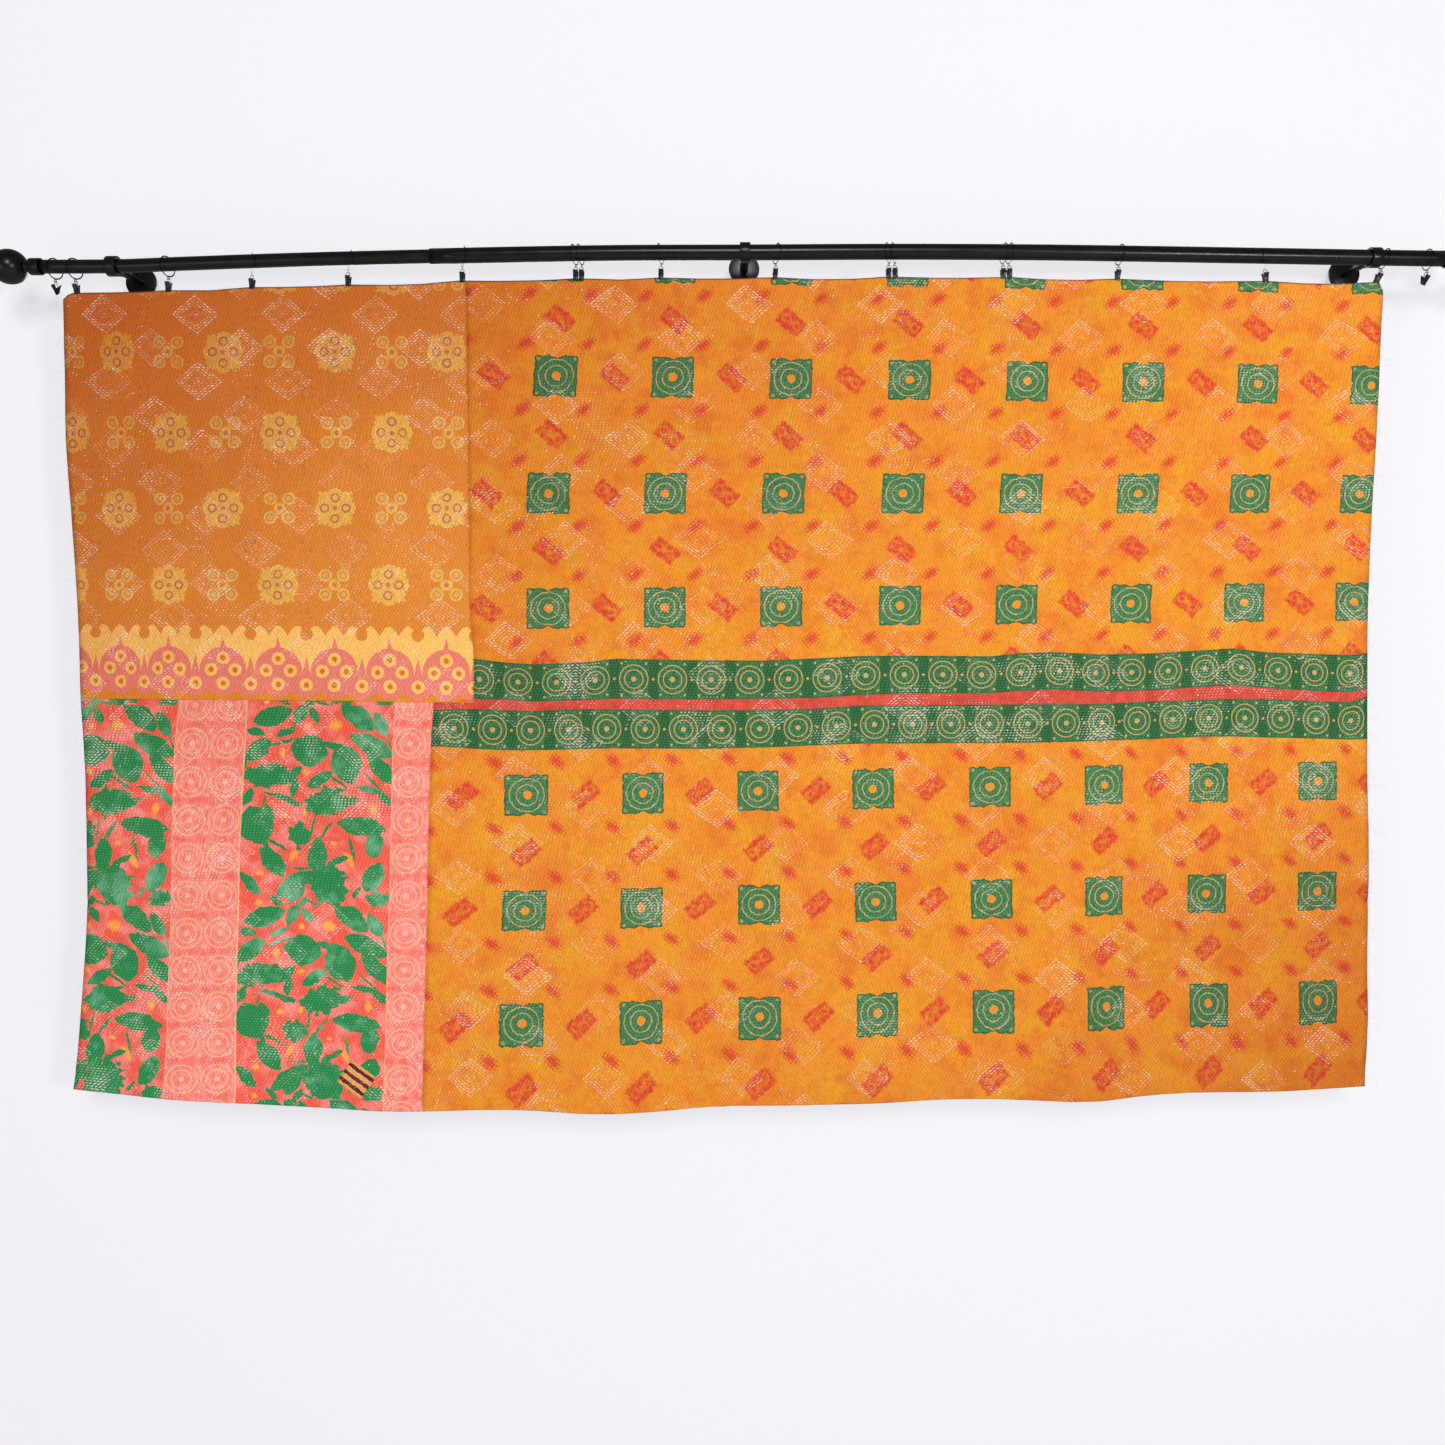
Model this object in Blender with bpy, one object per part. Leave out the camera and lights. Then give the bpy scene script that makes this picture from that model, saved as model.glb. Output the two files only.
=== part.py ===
"""Kantha quilt hung by ring clips from a bracketed curtain rod.

Metres, +Z up. X runs along the rod. The flat backs of the bracket plates lie in
the plane y = 0, and the rod, the rings and the cloth stand in front of it at
negative Y. The origin is the centre of the middle plate's back.
"""

import math
import random

import bmesh
import bpy
from mathutils import Matrix, Vector

MM = 0.001
TOUCH_GAP = 0.3 * MM
MERGE_DISTANCE = 0.01 * MM
SMOOTH_UP_TO = math.radians(35)
PLATE_SIDES = 20
ARM_SIDES = 12

# The rod: two telescoping tubes on three brackets. The middle bracket sits a
# little higher than the outer two, so the rod is slightly bowed. Its projection
# is the distance from the plates' backs to its axis.
ROD_PROJECTION = 95 * MM
OUTER_TUBE_RADIUS = 12.5 * MM
INNER_TUBE_RADIUS = 11.0 * MM
TUBE_WALL = 1.0 * MM
TUBE_SIDES = 16
OUTER_TUBE_START = -510 * MM
TUBE_OVERLAP = 270 * MM
ROD_END_LEFT = -1155 * MM
ROD_END_RIGHT = 1150 * MM

# Columns: distance along the rod in mm, height of the rod's axis there in mm.
ROD_LINE = (
    (-1230, -23.0),
    (-1020, -22.3),
    (-920, -18.5),
    (-735, -12.0),
    (-510, -6.3),
    (-230, -1.0),
    (0, 0.0),
    (230, 1.2),
    (450, 0.4),
    (620, -1.8),
    (840, -5.4),
    (1020, -8.4),
    (1230, -11.4),
)

BRACKET_X = {"left": -1023.5 * MM, "middle": 0.0, "right": 1019.0 * MM}
PLATE_RADIUS = 26.0 * MM
PLATE_THICKNESS = 5.0 * MM
PLATE_EDGE = 1.2 * MM
COLLAR_RADIUS = 16.2 * MM
COLLAR_WIDTH = 17.0 * MM
COLLAR_EDGE = 1.0 * MM
SLEEVE_CLEARANCE = 0.6 * MM
ARM_RADIUS = 7.0 * MM
ARM_BOSS_RADIUS = 9.5 * MM
ARM_BOSS_LENGTH = 13.0 * MM
ARM_BOSS_TAPER = 0.8

BALL_RADIUS = 28.0 * MM
BALL_TO_CAP = 33.0 * MM
BALL_SIDES = 16
BALL_ARCS = 8
NECK_RADIUS = 8.5 * MM
CAP_WALL = 2.6 * MM
CAP_LENGTH = 18.5 * MM
CAP_END_WALL = 3.0 * MM
CAP_EDGE = 2.2 * MM
CAP_LIP = 0.8 * MM

# A clip ring: a wire ring with a small eye at its foot, a wire link through the
# eye, and a sprung clip on the link.
RING_RADIUS = 16.2 * MM
RING_WIRE = 1.1 * MM
RING_SLACK = 0.3 * MM
RING_STEPS = 18
EYE_STEPS = 6
WIRE_SIDES = 4
EYE_RADIUS = 2.2 * MM
EYE_WIRE = 0.7 * MM
EYE_DROP = 3.0 * MM
LINK_WIRE = 0.55 * MM
LINK_SLACK = 0.3 * MM
LINK_TOP_HALF = 2.8 * MM
LINK_FOOT_HALF = 3.1 * MM
LINK_SHOULDER = (0.7, 0.3)
CLIP_WIDTH = 8.0 * MM
CLIP_LINK_TO_TIP = 22.5 * MM

# Half of a clip's side outline, from the web's underside round the jaw and the
# lever to the web's top. Columns in mm: distance from the clip's middle plane,
# height above the jaws' tips. A shut clip's jaws meet below the web.
CLIP_HALF_GRIPPING = (
    (0.0, 4.6),
    (1.9, 4.6),
    (1.9, 0.0),
    (3.1, 0.0),
    (3.5, 7.4),
    (6.4, 16.4),
    (5.3, 16.8),
    (2.1, 8.8),
    (0.0, 8.8),
)
CLIP_HALF_SHUT = (
    (0.0, 0.6),
    (0.2, 0.0),
    (1.6, 0.0),
    (3.6, 6.2),
    (7.6, 15.4),
    (6.6, 15.9),
    (2.1, 8.8),
    (0.0, 8.8),
)
CLIP_WEB_UNDER = CLIP_HALF_GRIPPING[0][1] * MM
CLIP_WEB_TOP = CLIP_HALF_GRIPPING[-1][1] * MM

# Columns: place of the ring on the rod in mm, then degrees: the ring's yaw, how
# far its foot swings to the right, the clip's own roll the same way and its yaw,
# and whether the clip grips the hem.
RING_CLIPS = (
    (-1118.0, -16, 2, 10, -30, False),
    (-1086.0, -18, 3, 9, 0, True),
    (-936.0, -17, 5, 0, 0, True),
    (-798.5, 27, 0, 0, 0, True),
    (-640.0, 26, -7, 0, 0, True),
    (-456.0, 23, -5, 0, 0, True),
    (-276.5, -15, 6, 0, 0, True),
    (-267.0, -15, 6, 0, 0, True),
    (-137.5, -15, 5, -2, 0, True),
    (51.5, 20, -4, -4, 0, True),
    (231.5, -22, 3, 0, 0, True),
    (241.0, -22, 3, 4, 0, True),
    (419.5, 10, -4, 0, 0, True),
    (429.0, 10, -4, 3, 0, True),
    (607.5, 8, -6, -7, 0, True),
    (841.5, -24, 2, 3, 0, True),
    (1036.0, 0, -14, -25, 0, True),
    (1106.0, 0, -2, -20, 9, False),
)

# The quilt. It is one quilted sheet of several layers of thin cotton.
QUILT_THICKNESS = 3.2 * MM
QUILT_DROP = 1300 * MM
QUILT_BOTTOM_ROWS = 23
HEM_BAND = 8.0 * MM
HEM_CLEARANCE = 1.0 * MM
CLIP_FLAT_HALF = 6.0 * MM
SPAN_COLUMN = 50 * MM
HEM_SAG = 3.4 * MM
HEM_WAVE = 5.5 * MM
HEM_FULL_SPAN = 180 * MM
HEM_WAVE_FADE = 170 * MM
FOLD_START_FADE = 130 * MM
FOLD_FOOT = -1370 * MM

# Columns: share of the way down a side, the edge's place in mm.
LEFT_EDGE = (
    (0.00, -1104.5),
    (0.12, -1103.0),
    (0.20, -1101.5),
    (0.28, -1093.5),
    (0.38, -1085.0),
    (0.52, -1077.5),
    (0.62, -1071.5),
    (0.78, -1070.5),
    (0.90, -1079.0),
    (1.00, -1090.0),
)
RIGHT_EDGE = (
    (0.00, 1034.0),
    (0.06, 1031.5),
    (0.18, 1026.0),
    (0.30, 1017.5),
    (0.42, 1011.5),
    (0.60, 1011.0),
    (0.74, 1014.0),
    (0.84, 1011.0),
    (0.93, 1012.0),
    (1.00, 1006.0),
)
# Columns: place along the bottom hem in mm, its height in mm.
BOTTOM_EDGE = (
    (-1092, -1357.0),
    (-1045, -1361.0),
    (-940, -1370.5),
    (-800, -1379.0),
    (-660, -1385.5),
    (-500, -1390.5),
    (-340, -1391.0),
    (-230, -1394.0),
    (-140, -1392.0),
    (-40, -1385.5),
    (90, -1382.0),
    (220, -1379.5),
    (350, -1373.0),
    (460, -1373.0),
    (570, -1376.5),
    (660, -1366.5),
    (740, -1361.5),
    (870, -1359.0),
    (960, -1354.0),
    (1008, -1352.5),
)
CORNER_DROP = 11.0 * MM
CORNER_RUN = 17.0 * MM
CORNER_COLUMN_LEFT = 0.4
CORNER_COLUMN_RIGHT = 0.25

# Soft upright folds. Columns in mm: place at the top, place at the foot, half
# width, depth at the top, depth at the foot. Depth is backwards, to +Y.
UPRIGHT_FOLDS = (
    (-1040, -1015, 48, -3.0, 4.5),
    (-930, -905, 60, 2.5, -5.5),
    (-770, -745, 70, -3.0, 4.0),
    (-560, -600, 85, 3.0, -5.0),
    (-370, -410, 75, -2.0, 5.5),
    (-215, -235, 60, 2.5, -6.0),
    (-40, -70, 70, -3.0, 5.0),
    (110, 95, 60, 2.0, -4.0),
    (330, 300, 80, -2.5, 6.0),
    (515, 500, 60, 3.5, -6.5),
    (700, 650, 80, -3.0, 5.5),
    (880, 850, 70, 3.0, -4.5),
)
# Creases from storage, folded in four each way. Columns in mm: place, half
# width, height of the ridge towards the viewer.
UPRIGHT_CREASES = ((-575, 95, 3.2), (-35, 110, -3.6), (500, 95, 3.4))
LEVEL_CREASES = ((-395, 80, -1.8), (-715, 90, 2.2), (-1055, 75, -3.4))
EDGE_CURL = 9.0 * MM
EDGE_CURL_RUN = 55 * MM

# Loose thread ends along the two cut side edges, on a narrow strip each.
THREAD_STRIP = 1.6 * MM
THREAD_STRIP_GAP = 0.5 * MM
THREAD_TOP = -130 * MM
THREAD_FOOT = -1335 * MM
THREADS = {"left": 20, "right": 32}
THREAD_THICKNESS = 0.9 * MM
THREAD_TIP_SHARE = 0.6
THREAD_LENGTHS = (20 * MM, 40 * MM)
THREAD_SCATTER = 0.3
THREAD_SEED = 11

# A thread end is two straight stretches: out from the edge, then down. Each
# value is that stretch's share along the named way.
ROOT_OUT = 0.85
ROOT_RISE = (-0.15, 0.45)
ROOT_SWAY = (-0.35, 0.2)
TIP_OUT = 0.62
TIP_FALL = 0.75
TIP_SWAY = 0.6

# Columns: sRGB colour, roughness, metallic.
FINISHES = {
    "black_powder_coat": ((0.055, 0.053, 0.057), 0.38, 0.0),
    "black_wire": ((0.08, 0.08, 0.085), 0.35, 0.6),
    "black_clip": ((0.13, 0.13, 0.15), 0.35, 0.5),
    "printed_cotton": ((0.93, 0.55, 0.16), 0.85, 0.0),
    "loose_thread": ((0.93, 0.91, 0.88), 0.9, 0.0),
}


def linear(channel):
    """An sRGB channel as the linear value that a shader takes."""
    return channel / 12.92 if channel <= 0.04045 else ((channel + 0.055) / 1.055) ** 2.4


def finish(name, node):
    """The named finish as a material of the node's own."""
    colour, roughness, metallic = FINISHES[name]
    material = bpy.data.materials.new(f"{name}_{node}")
    material.use_nodes = True
    shader = material.node_tree.nodes["Principled BSDF"]
    shader.inputs["Base Color"].default_value = [linear(c) for c in colour] + [1.0]
    shader.inputs["Roughness"].default_value = roughness
    shader.inputs["Metallic"].default_value = metallic
    return material


def add_object(name, mesh, finish_name, place=(0.0, 0.0, 0.0), turn=None):
    """Puts a mesh in the scene as the named piece."""
    piece = bpy.data.objects.new(name, mesh)
    bpy.context.scene.collection.objects.link(piece)
    piece.matrix_world = Matrix.Translation(place) @ (turn or Matrix.Identity(3)).to_4x4()
    mesh = piece.data
    if not mesh.materials:
        mesh.materials.append(None)
    slot = piece.material_slots[0]
    slot.link = "OBJECT"
    slot.material = finish(finish_name, name)
    return piece


def smooth(mesh):
    """Shades a mesh smooth except at sharp edges."""
    mesh.shade_smooth()
    mesh.set_sharp_from_angle(angle=SMOOTH_UP_TO)


def to_mesh(name, work):
    """Ends a bmesh as a mesh."""
    mesh = bpy.data.meshes.new(name)
    work.to_mesh(mesh)
    work.free()
    return mesh


def curve_value(rows, at):
    """The smooth curve through the rows' (place, value) points, read at a place."""
    if at <= rows[0][0]:
        return rows[0][1]
    if at >= rows[-1][0]:
        return rows[-1][1]
    last = max(i for i in range(len(rows) - 1) if rows[i][0] <= at)

    def slope(i):
        before, after = rows[max(i - 1, 0)], rows[min(i + 1, len(rows) - 1)]
        return (after[1] - before[1]) / (after[0] - before[0])

    (x0, v0), (x1, v1) = rows[last], rows[last + 1]
    run = x1 - x0
    t = (at - x0) / run
    return (
        v0 * (2 * t**3 - 3 * t**2 + 1)
        + v1 * (3 * t**2 - 2 * t**3)
        + slope(last) * run * (t**3 - 2 * t**2 + t)
        + slope(last + 1) * run * (t**3 - t**2)
    )


def rod_point(x):
    """The point of the rod's axis at a distance along it."""
    return Vector((x, -ROD_PROJECTION, curve_value(ROD_LINE, x / MM) * MM))


def tube_radius(x):
    """The outer radius of the tube that shows at a distance along the rod."""
    return OUTER_TUBE_RADIUS if x >= OUTER_TUBE_START else INNER_TUBE_RADIUS


def union_mesh(name, meshes):
    """One closed mesh out of overlapping closed ones."""
    parts = [bpy.data.objects.new(f"{name}_{i}", mesh) for i, mesh in enumerate(meshes)]
    for piece in parts:
        bpy.context.scene.collection.objects.link(piece)
    for other in parts[1:]:
        join = parts[0].modifiers.new("join", "BOOLEAN")
        join.operation = "UNION"
        join.object = other
    view = bpy.context.evaluated_depsgraph_get()
    result = bpy.data.meshes.new_from_object(parts[0].evaluated_get(view))
    result.name = name
    for piece in parts:
        bpy.data.objects.remove(piece)
    smooth(result)
    return result


def turned_mesh(name, outline, steps):
    """A closed (along, radius) outline turned round the X axis."""
    work = bmesh.new()
    corners = [work.verts.new((along, 0.0, radius)) for along, radius in outline]
    edges = [work.edges.new((a, b)) for a, b in zip(corners, corners[1:])]
    if outline[0][1] > 0:
        edges.append(work.edges.new((corners[-1], corners[0])))
    bmesh.ops.spin(
        work,
        geom=corners + edges,
        cent=(0, 0, 0),
        axis=(1, 0, 0),
        angle=math.tau,
        steps=steps,
        use_merge=True,
    )
    bmesh.ops.remove_doubles(work, verts=work.verts, dist=MERGE_DISTANCE)
    bmesh.ops.recalc_face_normals(work, faces=work.faces)
    mesh = to_mesh(name, work)
    smooth(mesh)
    return mesh


def hoop_mesh(name, radius, wire, steps):
    """A wire ring in the YZ plane."""
    outline = []
    for i in range(WIRE_SIDES):
        turn = math.tau * (i + 0.5) / WIRE_SIDES
        outline.append((wire * math.cos(turn), radius + wire * math.sin(turn)))
    return turned_mesh(name, outline, steps)


def make_tube(name, start, end, radius):
    """A tube along the rod's line, open at both ends."""
    stops = [start] + [x * MM for x, _ in ROD_LINE if start < x * MM < end] + [end]
    work = bmesh.new()
    turned = Matrix.Rotation(math.radians(90), 3, "Y")
    ring = bmesh.ops.create_circle(work, cap_ends=False, segments=TUBE_SIDES, radius=radius)["verts"]
    bmesh.ops.rotate(work, verts=ring, cent=(0, 0, 0), matrix=turned)
    bmesh.ops.translate(work, verts=ring, vec=rod_point(start))
    edges = list(work.edges)
    for before, after in zip(stops, stops[1:]):
        grown = bmesh.ops.extrude_edge_only(work, edges=edges)["geom"]
        edges = [item for item in grown if isinstance(item, bmesh.types.BMEdge)]
        verts = [item for item in grown if isinstance(item, bmesh.types.BMVert)]
        bmesh.ops.translate(work, verts=verts, vec=rod_point(after) - rod_point(before))
    bmesh.ops.recalc_face_normals(work, faces=work.faces)
    first = next(iter(work.faces))
    outwards = first.calc_center_median() - rod_point(first.calc_center_median().x)
    if first.normal.dot(outwards) < 0:
        bmesh.ops.reverse_faces(work, faces=work.faces)
    mesh = to_mesh(name, work)
    smooth(mesh)
    tube = add_object(name, mesh, "black_powder_coat")
    wall = tube.modifiers.new("wall", "SOLIDIFY")
    wall.thickness = TUBE_WALL
    wall.offset = -1.0
    return tube


def make_brackets():
    """Three round plates, each with an arm that ends in a collar round the rod."""
    plate_outline = [
        (0.0, 0.0),
        (0.0, PLATE_RADIUS),
        (PLATE_THICKNESS - PLATE_EDGE, PLATE_RADIUS),
        (PLATE_THICKNESS, PLATE_RADIUS - PLATE_EDGE),
        (PLATE_THICKNESS, 0.0),
    ]
    to_front = Matrix.Rotation(math.radians(-90), 3, "Z")
    plate = turned_mesh("wall_plate", plate_outline, PLATE_SIDES)
    for side, x in BRACKET_X.items():
        height = rod_point(x).z
        add_object(f"wall_plate_{side}", plate, "black_powder_coat", (x, 0.0, height), to_front)
        bore = tube_radius(x) + SLEEVE_CLEARANCE
        half = COLLAR_WIDTH / 2
        collar_outline = [
            (-half, bore),
            (-half, COLLAR_RADIUS - COLLAR_EDGE),
            (COLLAR_EDGE - half, COLLAR_RADIUS),
            (half - COLLAR_EDGE, COLLAR_RADIUS),
            (half, COLLAR_RADIUS - COLLAR_EDGE),
            (half, bore),
        ]
        collar = turned_mesh("collar", collar_outline, PLATE_SIDES)
        collar.transform(Matrix.Translation((0, -ROD_PROJECTION, 0)))
        arm_start = PLATE_THICKNESS + TOUCH_GAP
        arm_end = ROD_PROJECTION - (bore + COLLAR_RADIUS) / 2
        boss_start = ROD_PROJECTION - COLLAR_RADIUS - ARM_BOSS_LENGTH
        arm_outline = [
            (arm_start, 0.0),
            (arm_start, ARM_RADIUS),
            (boss_start, ARM_RADIUS),
            (boss_start + ARM_BOSS_RADIUS - ARM_RADIUS, ARM_BOSS_RADIUS),
            (arm_end, ARM_BOSS_RADIUS * ARM_BOSS_TAPER),
            (arm_end, 0.0),
        ]
        arm = turned_mesh("arm", arm_outline, ARM_SIDES)
        arm.transform(to_front.to_4x4())
        joined = union_mesh("bracket_arm", [collar, arm])
        add_object(f"bracket_arm_{side}", joined, "black_powder_coat", (x, 0.0, height))


def make_rod_ends():
    """At each end a cap over the tube, and a ball finial on a short neck."""
    for side, end, outwards in (("left", ROD_END_LEFT, -1), ("right", ROD_END_RIGHT, 1)):
        bore = tube_radius(end) + SLEEVE_CLEARANCE
        radius = tube_radius(end) + CAP_WALL
        cap_outline = [
            (0.0, 0.0),
            (0.0, radius - CAP_EDGE),
            (-CAP_EDGE, radius),
            (-CAP_LENGTH + CAP_LIP, radius),
            (-CAP_LENGTH, radius - CAP_LIP),
            (-CAP_LENGTH, bore),
            (-CAP_END_WALL, bore),
            (-CAP_END_WALL, 0.0),
        ]
        turn = Matrix.Rotation(math.pi if outwards < 0 else 0.0, 3, "Z")
        cap_face = end + outwards * (CAP_END_WALL + TOUCH_GAP)
        place = rod_point(end)
        cap = turned_mesh("rod_cap", cap_outline, PLATE_SIDES)
        add_object(f"rod_cap_{side}", cap, "black_powder_coat", (cap_face, place.y, place.z), turn)
        neck_turn = math.asin(NECK_RADIUS / BALL_RADIUS)
        neck_joint = BALL_TO_CAP - BALL_RADIUS * math.cos(neck_turn)
        ball_outline = [(TOUCH_GAP, 0.0), (TOUCH_GAP, NECK_RADIUS), (neck_joint, NECK_RADIUS)]
        for i in range(1, BALL_ARCS):
            turned = neck_turn + (math.pi - neck_turn) * i / BALL_ARCS
            along = BALL_TO_CAP - BALL_RADIUS * math.cos(turned)
            ball_outline.append((along, BALL_RADIUS * math.sin(turned)))
        ball_outline.append((BALL_TO_CAP + BALL_RADIUS, 0.0))
        ball = turned_mesh("ball_finial", ball_outline, BALL_SIDES)
        add_object(f"ball_finial_{side}", ball, "black_powder_coat", (cap_face, place.y, place.z), turn)


def ring_turn(row):
    """How a clip ring is turned, from its table row."""
    _, yaw, lean, _, _, _ = row
    return Matrix.Rotation(math.radians(-lean), 3, "Y") @ Matrix.Rotation(math.radians(yaw), 3, "Z")


def ring_centre(row):
    """Where a ring's centre lies when the ring hangs on the tube."""
    x, _, lean, _, _, _ = row
    up = ring_turn(row) @ Vector((0, 0, 1))
    rise = tube_radius(x * MM) / math.cos(math.radians(lean)) + TOUCH_GAP
    return rod_point(x * MM) + up * (rise + RING_SLACK - (RING_RADIUS - RING_WIRE))


def clip_turn(row):
    """How a clip is turned about its link, from its table row."""
    _, _, _, roll, yaw, _ = row
    return Matrix.Rotation(math.radians(-roll), 3, "Y") @ Matrix.Rotation(math.radians(yaw), 3, "Z")


def link_top(row):
    """The point where the link's wire rests in the ring's eye."""
    up = ring_turn(row) @ Vector((0, 0, 1))
    eye = ring_centre(row) - up * (RING_RADIUS + EYE_DROP)
    return eye - Vector((0, 0, EYE_RADIUS - EYE_WIRE - LINK_WIRE - TOUCH_GAP - LINK_SLACK))


def jaw_tip(row):
    """The middle of a clip's jaw tips."""
    return link_top(row) + clip_turn(row) @ Vector((0, 0, -CLIP_LINK_TO_TIP))


def link_mesh():
    """The wire link, its top at the origin and its foot inside the clip's web."""
    foot = -(CLIP_LINK_TO_TIP - (CLIP_WEB_UNDER + CLIP_WEB_TOP) / 2)
    shoulder_out, shoulder_down = (LINK_TOP_HALF * share for share in LINK_SHOULDER)
    half = [(shoulder_out, -shoulder_down), (LINK_TOP_HALF, -LINK_TOP_HALF), (LINK_FOOT_HALF, foot)]
    loop = [(-across, height) for across, height in reversed(half)] + [(0.0, 0.0)] + half
    route = bpy.data.curves.new("link", "CURVE")
    route.dimensions = "3D"
    route.bevel_depth = LINK_WIRE
    route.bevel_resolution = 0
    spline = route.splines.new("POLY")
    spline.points.add(len(loop) - 1)
    for point, (across, height) in zip(spline.points, loop):
        point.co = (across, 0.0, height, 1.0)
    spline.use_cyclic_u = True
    guide = bpy.data.objects.new("link_route", route)
    bpy.context.scene.collection.objects.link(guide)
    view = bpy.context.evaluated_depsgraph_get()
    mesh = bpy.data.meshes.new_from_object(guide.evaluated_get(view))
    bpy.data.objects.remove(guide)
    return mesh


def clip_mesh(name, half):
    """A sprung clip with its link, the link's top at the origin."""
    outline = list(half) + [(-across, height) for across, height in reversed(half[1:-1])]
    work = bmesh.new()
    corners = []
    for across, height in outline:
        corners.append(work.verts.new((-CLIP_WIDTH / 2, across * MM, height * MM - CLIP_LINK_TO_TIP)))
    face = work.faces.new(corners)
    grown = bmesh.ops.extrude_face_region(work, geom=[face])["geom"]
    moved = [item for item in grown if isinstance(item, bmesh.types.BMVert)]
    bmesh.ops.translate(work, verts=moved, vec=(CLIP_WIDTH, 0, 0))
    bmesh.ops.recalc_face_normals(work, faces=work.faces)
    return union_mesh(name, [to_mesh(name, work), link_mesh()])


def make_ring_clips():
    """The eighteen clip rings: a ring with its eye, and a clip with its link."""
    hoop = hoop_mesh("hoop", RING_RADIUS, RING_WIRE, RING_STEPS)
    eye = hoop_mesh("eye", EYE_RADIUS, EYE_WIRE, EYE_STEPS)
    eye.transform(Matrix.Translation((0, 0, -RING_RADIUS - EYE_DROP)))
    ring = union_mesh("ring", [hoop, eye])
    gripping = clip_mesh("clip_gripping", CLIP_HALF_GRIPPING)
    shut = clip_mesh("clip_shut", CLIP_HALF_SHUT)
    for number, row in enumerate(RING_CLIPS, 1):
        add_object(f"ring_{number:02d}", ring, "black_wire", ring_centre(row), ring_turn(row))
        clip = gripping if row[-1] else shut
        add_object(f"clip_{number:02d}", clip, "black_clip", link_top(row), clip_turn(row))


def hem_height_at(row):
    """The hem's height in a gripping clip's jaws, just under the clip's web."""
    roll = math.radians(row[3])
    web = CLIP_WEB_UNDER * math.cos(roll) - CLIP_WIDTH / 2 * abs(math.sin(roll))
    return jaw_tip(row).z + web - HEM_CLEARANCE


def flat_spans():
    """The stretches of hem that clips hold flat: start, end and height of each."""
    spans = []
    for row in RING_CLIPS:
        if not row[-1]:
            continue
        start, end = jaw_tip(row).x - CLIP_FLAT_HALF, jaw_tip(row).x + CLIP_FLAT_HALF
        height = hem_height_at(row)
        if spans and start < spans[-1][1]:
            spans[-1] = (spans[-1][0], end, min(height, spans[-1][2]))
        else:
            spans.append((start, end, height))
    return spans


def hem_point(spans, x):
    """Depth offset and height of the top hem at x: it sags and bows between clips."""
    for start, end, height in spans:
        if start <= x <= end:
            return 0.0, height
    if x < spans[0][0] or x > spans[-1][1]:
        first = x < spans[0][0]
        edge = LEFT_EDGE[0][1] * MM if first else RIGHT_EDGE[0][1] * MM
        height = spans[0][2] if first else spans[-1][2]
        into_corner = max(0.0, 1 - abs(x - edge) / CORNER_RUN)
        return 0.0, height - CORNER_DROP * into_corner**2
    number = max(i for i, span in enumerate(spans) if span[1] < x)
    (_, start, before), (end, _, after) = spans[number], spans[number + 1]
    t = (x - start) / (end - start)
    bow = math.sin(math.pi * t) ** 2
    side = 1 if number % 2 else -1
    wide = (end - start) / HEM_FULL_SPAN
    return side * HEM_WAVE * wide * bow, before + (after - before) * t - HEM_SAG * wide * bow


def fold_depth(x, z):
    """How far back the cloth lies at a point of its face."""
    down = min(1.0, max(0.0, z / FOLD_FOOT))
    depth = 0.0
    for top, foot, half, at_top, at_foot in UPRIGHT_FOLDS:
        centre = (top + (foot - top) * down) * MM
        share = math.exp(-(((x - centre) / (half * MM)) ** 2))
        depth += (at_top + (at_foot - at_top) * down) * MM * share
    for place, half, ridge in UPRIGHT_CREASES:
        depth -= ridge * MM * max(0.0, 1 - abs(x / MM - place) / half)
    for place, half, ridge in LEVEL_CREASES:
        depth -= ridge * MM * max(0.0, 1 - abs(z / MM - place) / half)
    return depth


def quilt_columns(spans):
    """Places along the top hem where the cloth's grid has a column."""
    left, right = LEFT_EDGE[0][1] * MM, RIGHT_EDGE[0][1] * MM
    places = [left, left + CORNER_RUN * CORNER_COLUMN_LEFT]
    for number, (start, end, _) in enumerate(spans):
        if number:
            last = spans[number - 1][1]
            parts = max(1, round((start - last) / SPAN_COLUMN))
            places += [last + (start - last) * i / parts for i in range(1, parts)]
        places += [start, end]
    places += [right - CORNER_RUN * CORNER_COLUMN_RIGHT, right]
    return sorted(places)


def quilt_grid():
    """The cloth's middle surface: rows from the top, each a list of points."""
    spans = flat_spans()
    columns = quilt_columns(spans)
    width = columns[-1] - columns[0]
    shares = [(x - columns[0]) / width for x in columns]
    band = HEM_BAND / QUILT_DROP
    downs = [0.0, band]
    downs += [band + (1 - band) * i / QUILT_BOTTOM_ROWS for i in range(1, QUILT_BOTTOM_ROWS + 1)]
    grid = []
    for down in downs:
        left = curve_value(LEFT_EDGE, down) * MM
        right = curve_value(RIGHT_EDGE, down) * MM
        row = []
        for share, top_x in zip(shares, columns):
            x = left + (right - left) * share
            bow, top = hem_point(spans, top_x)
            foot_x = LEFT_EDGE[-1][1] + (RIGHT_EDGE[-1][1] - LEFT_EDGE[-1][1]) * share
            foot = curve_value(BOTTOM_EDGE, foot_x) * MM
            z = top + (foot - top) * down
            below_band = max(0.0, top - z - HEM_BAND)
            freed = 1 - math.exp(-below_band / FOLD_START_FADE)
            to_side = min(x - left, right - x)
            curl = EDGE_CURL * max(0.0, 1 - to_side / EDGE_CURL_RUN) ** 2
            depth = bow * math.exp(-below_band / HEM_WAVE_FADE) + freed * (fold_depth(x, z) + curl)
            row.append(Vector((x, -ROD_PROJECTION + depth, z)))
        grid.append(row)
    return grid


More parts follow.
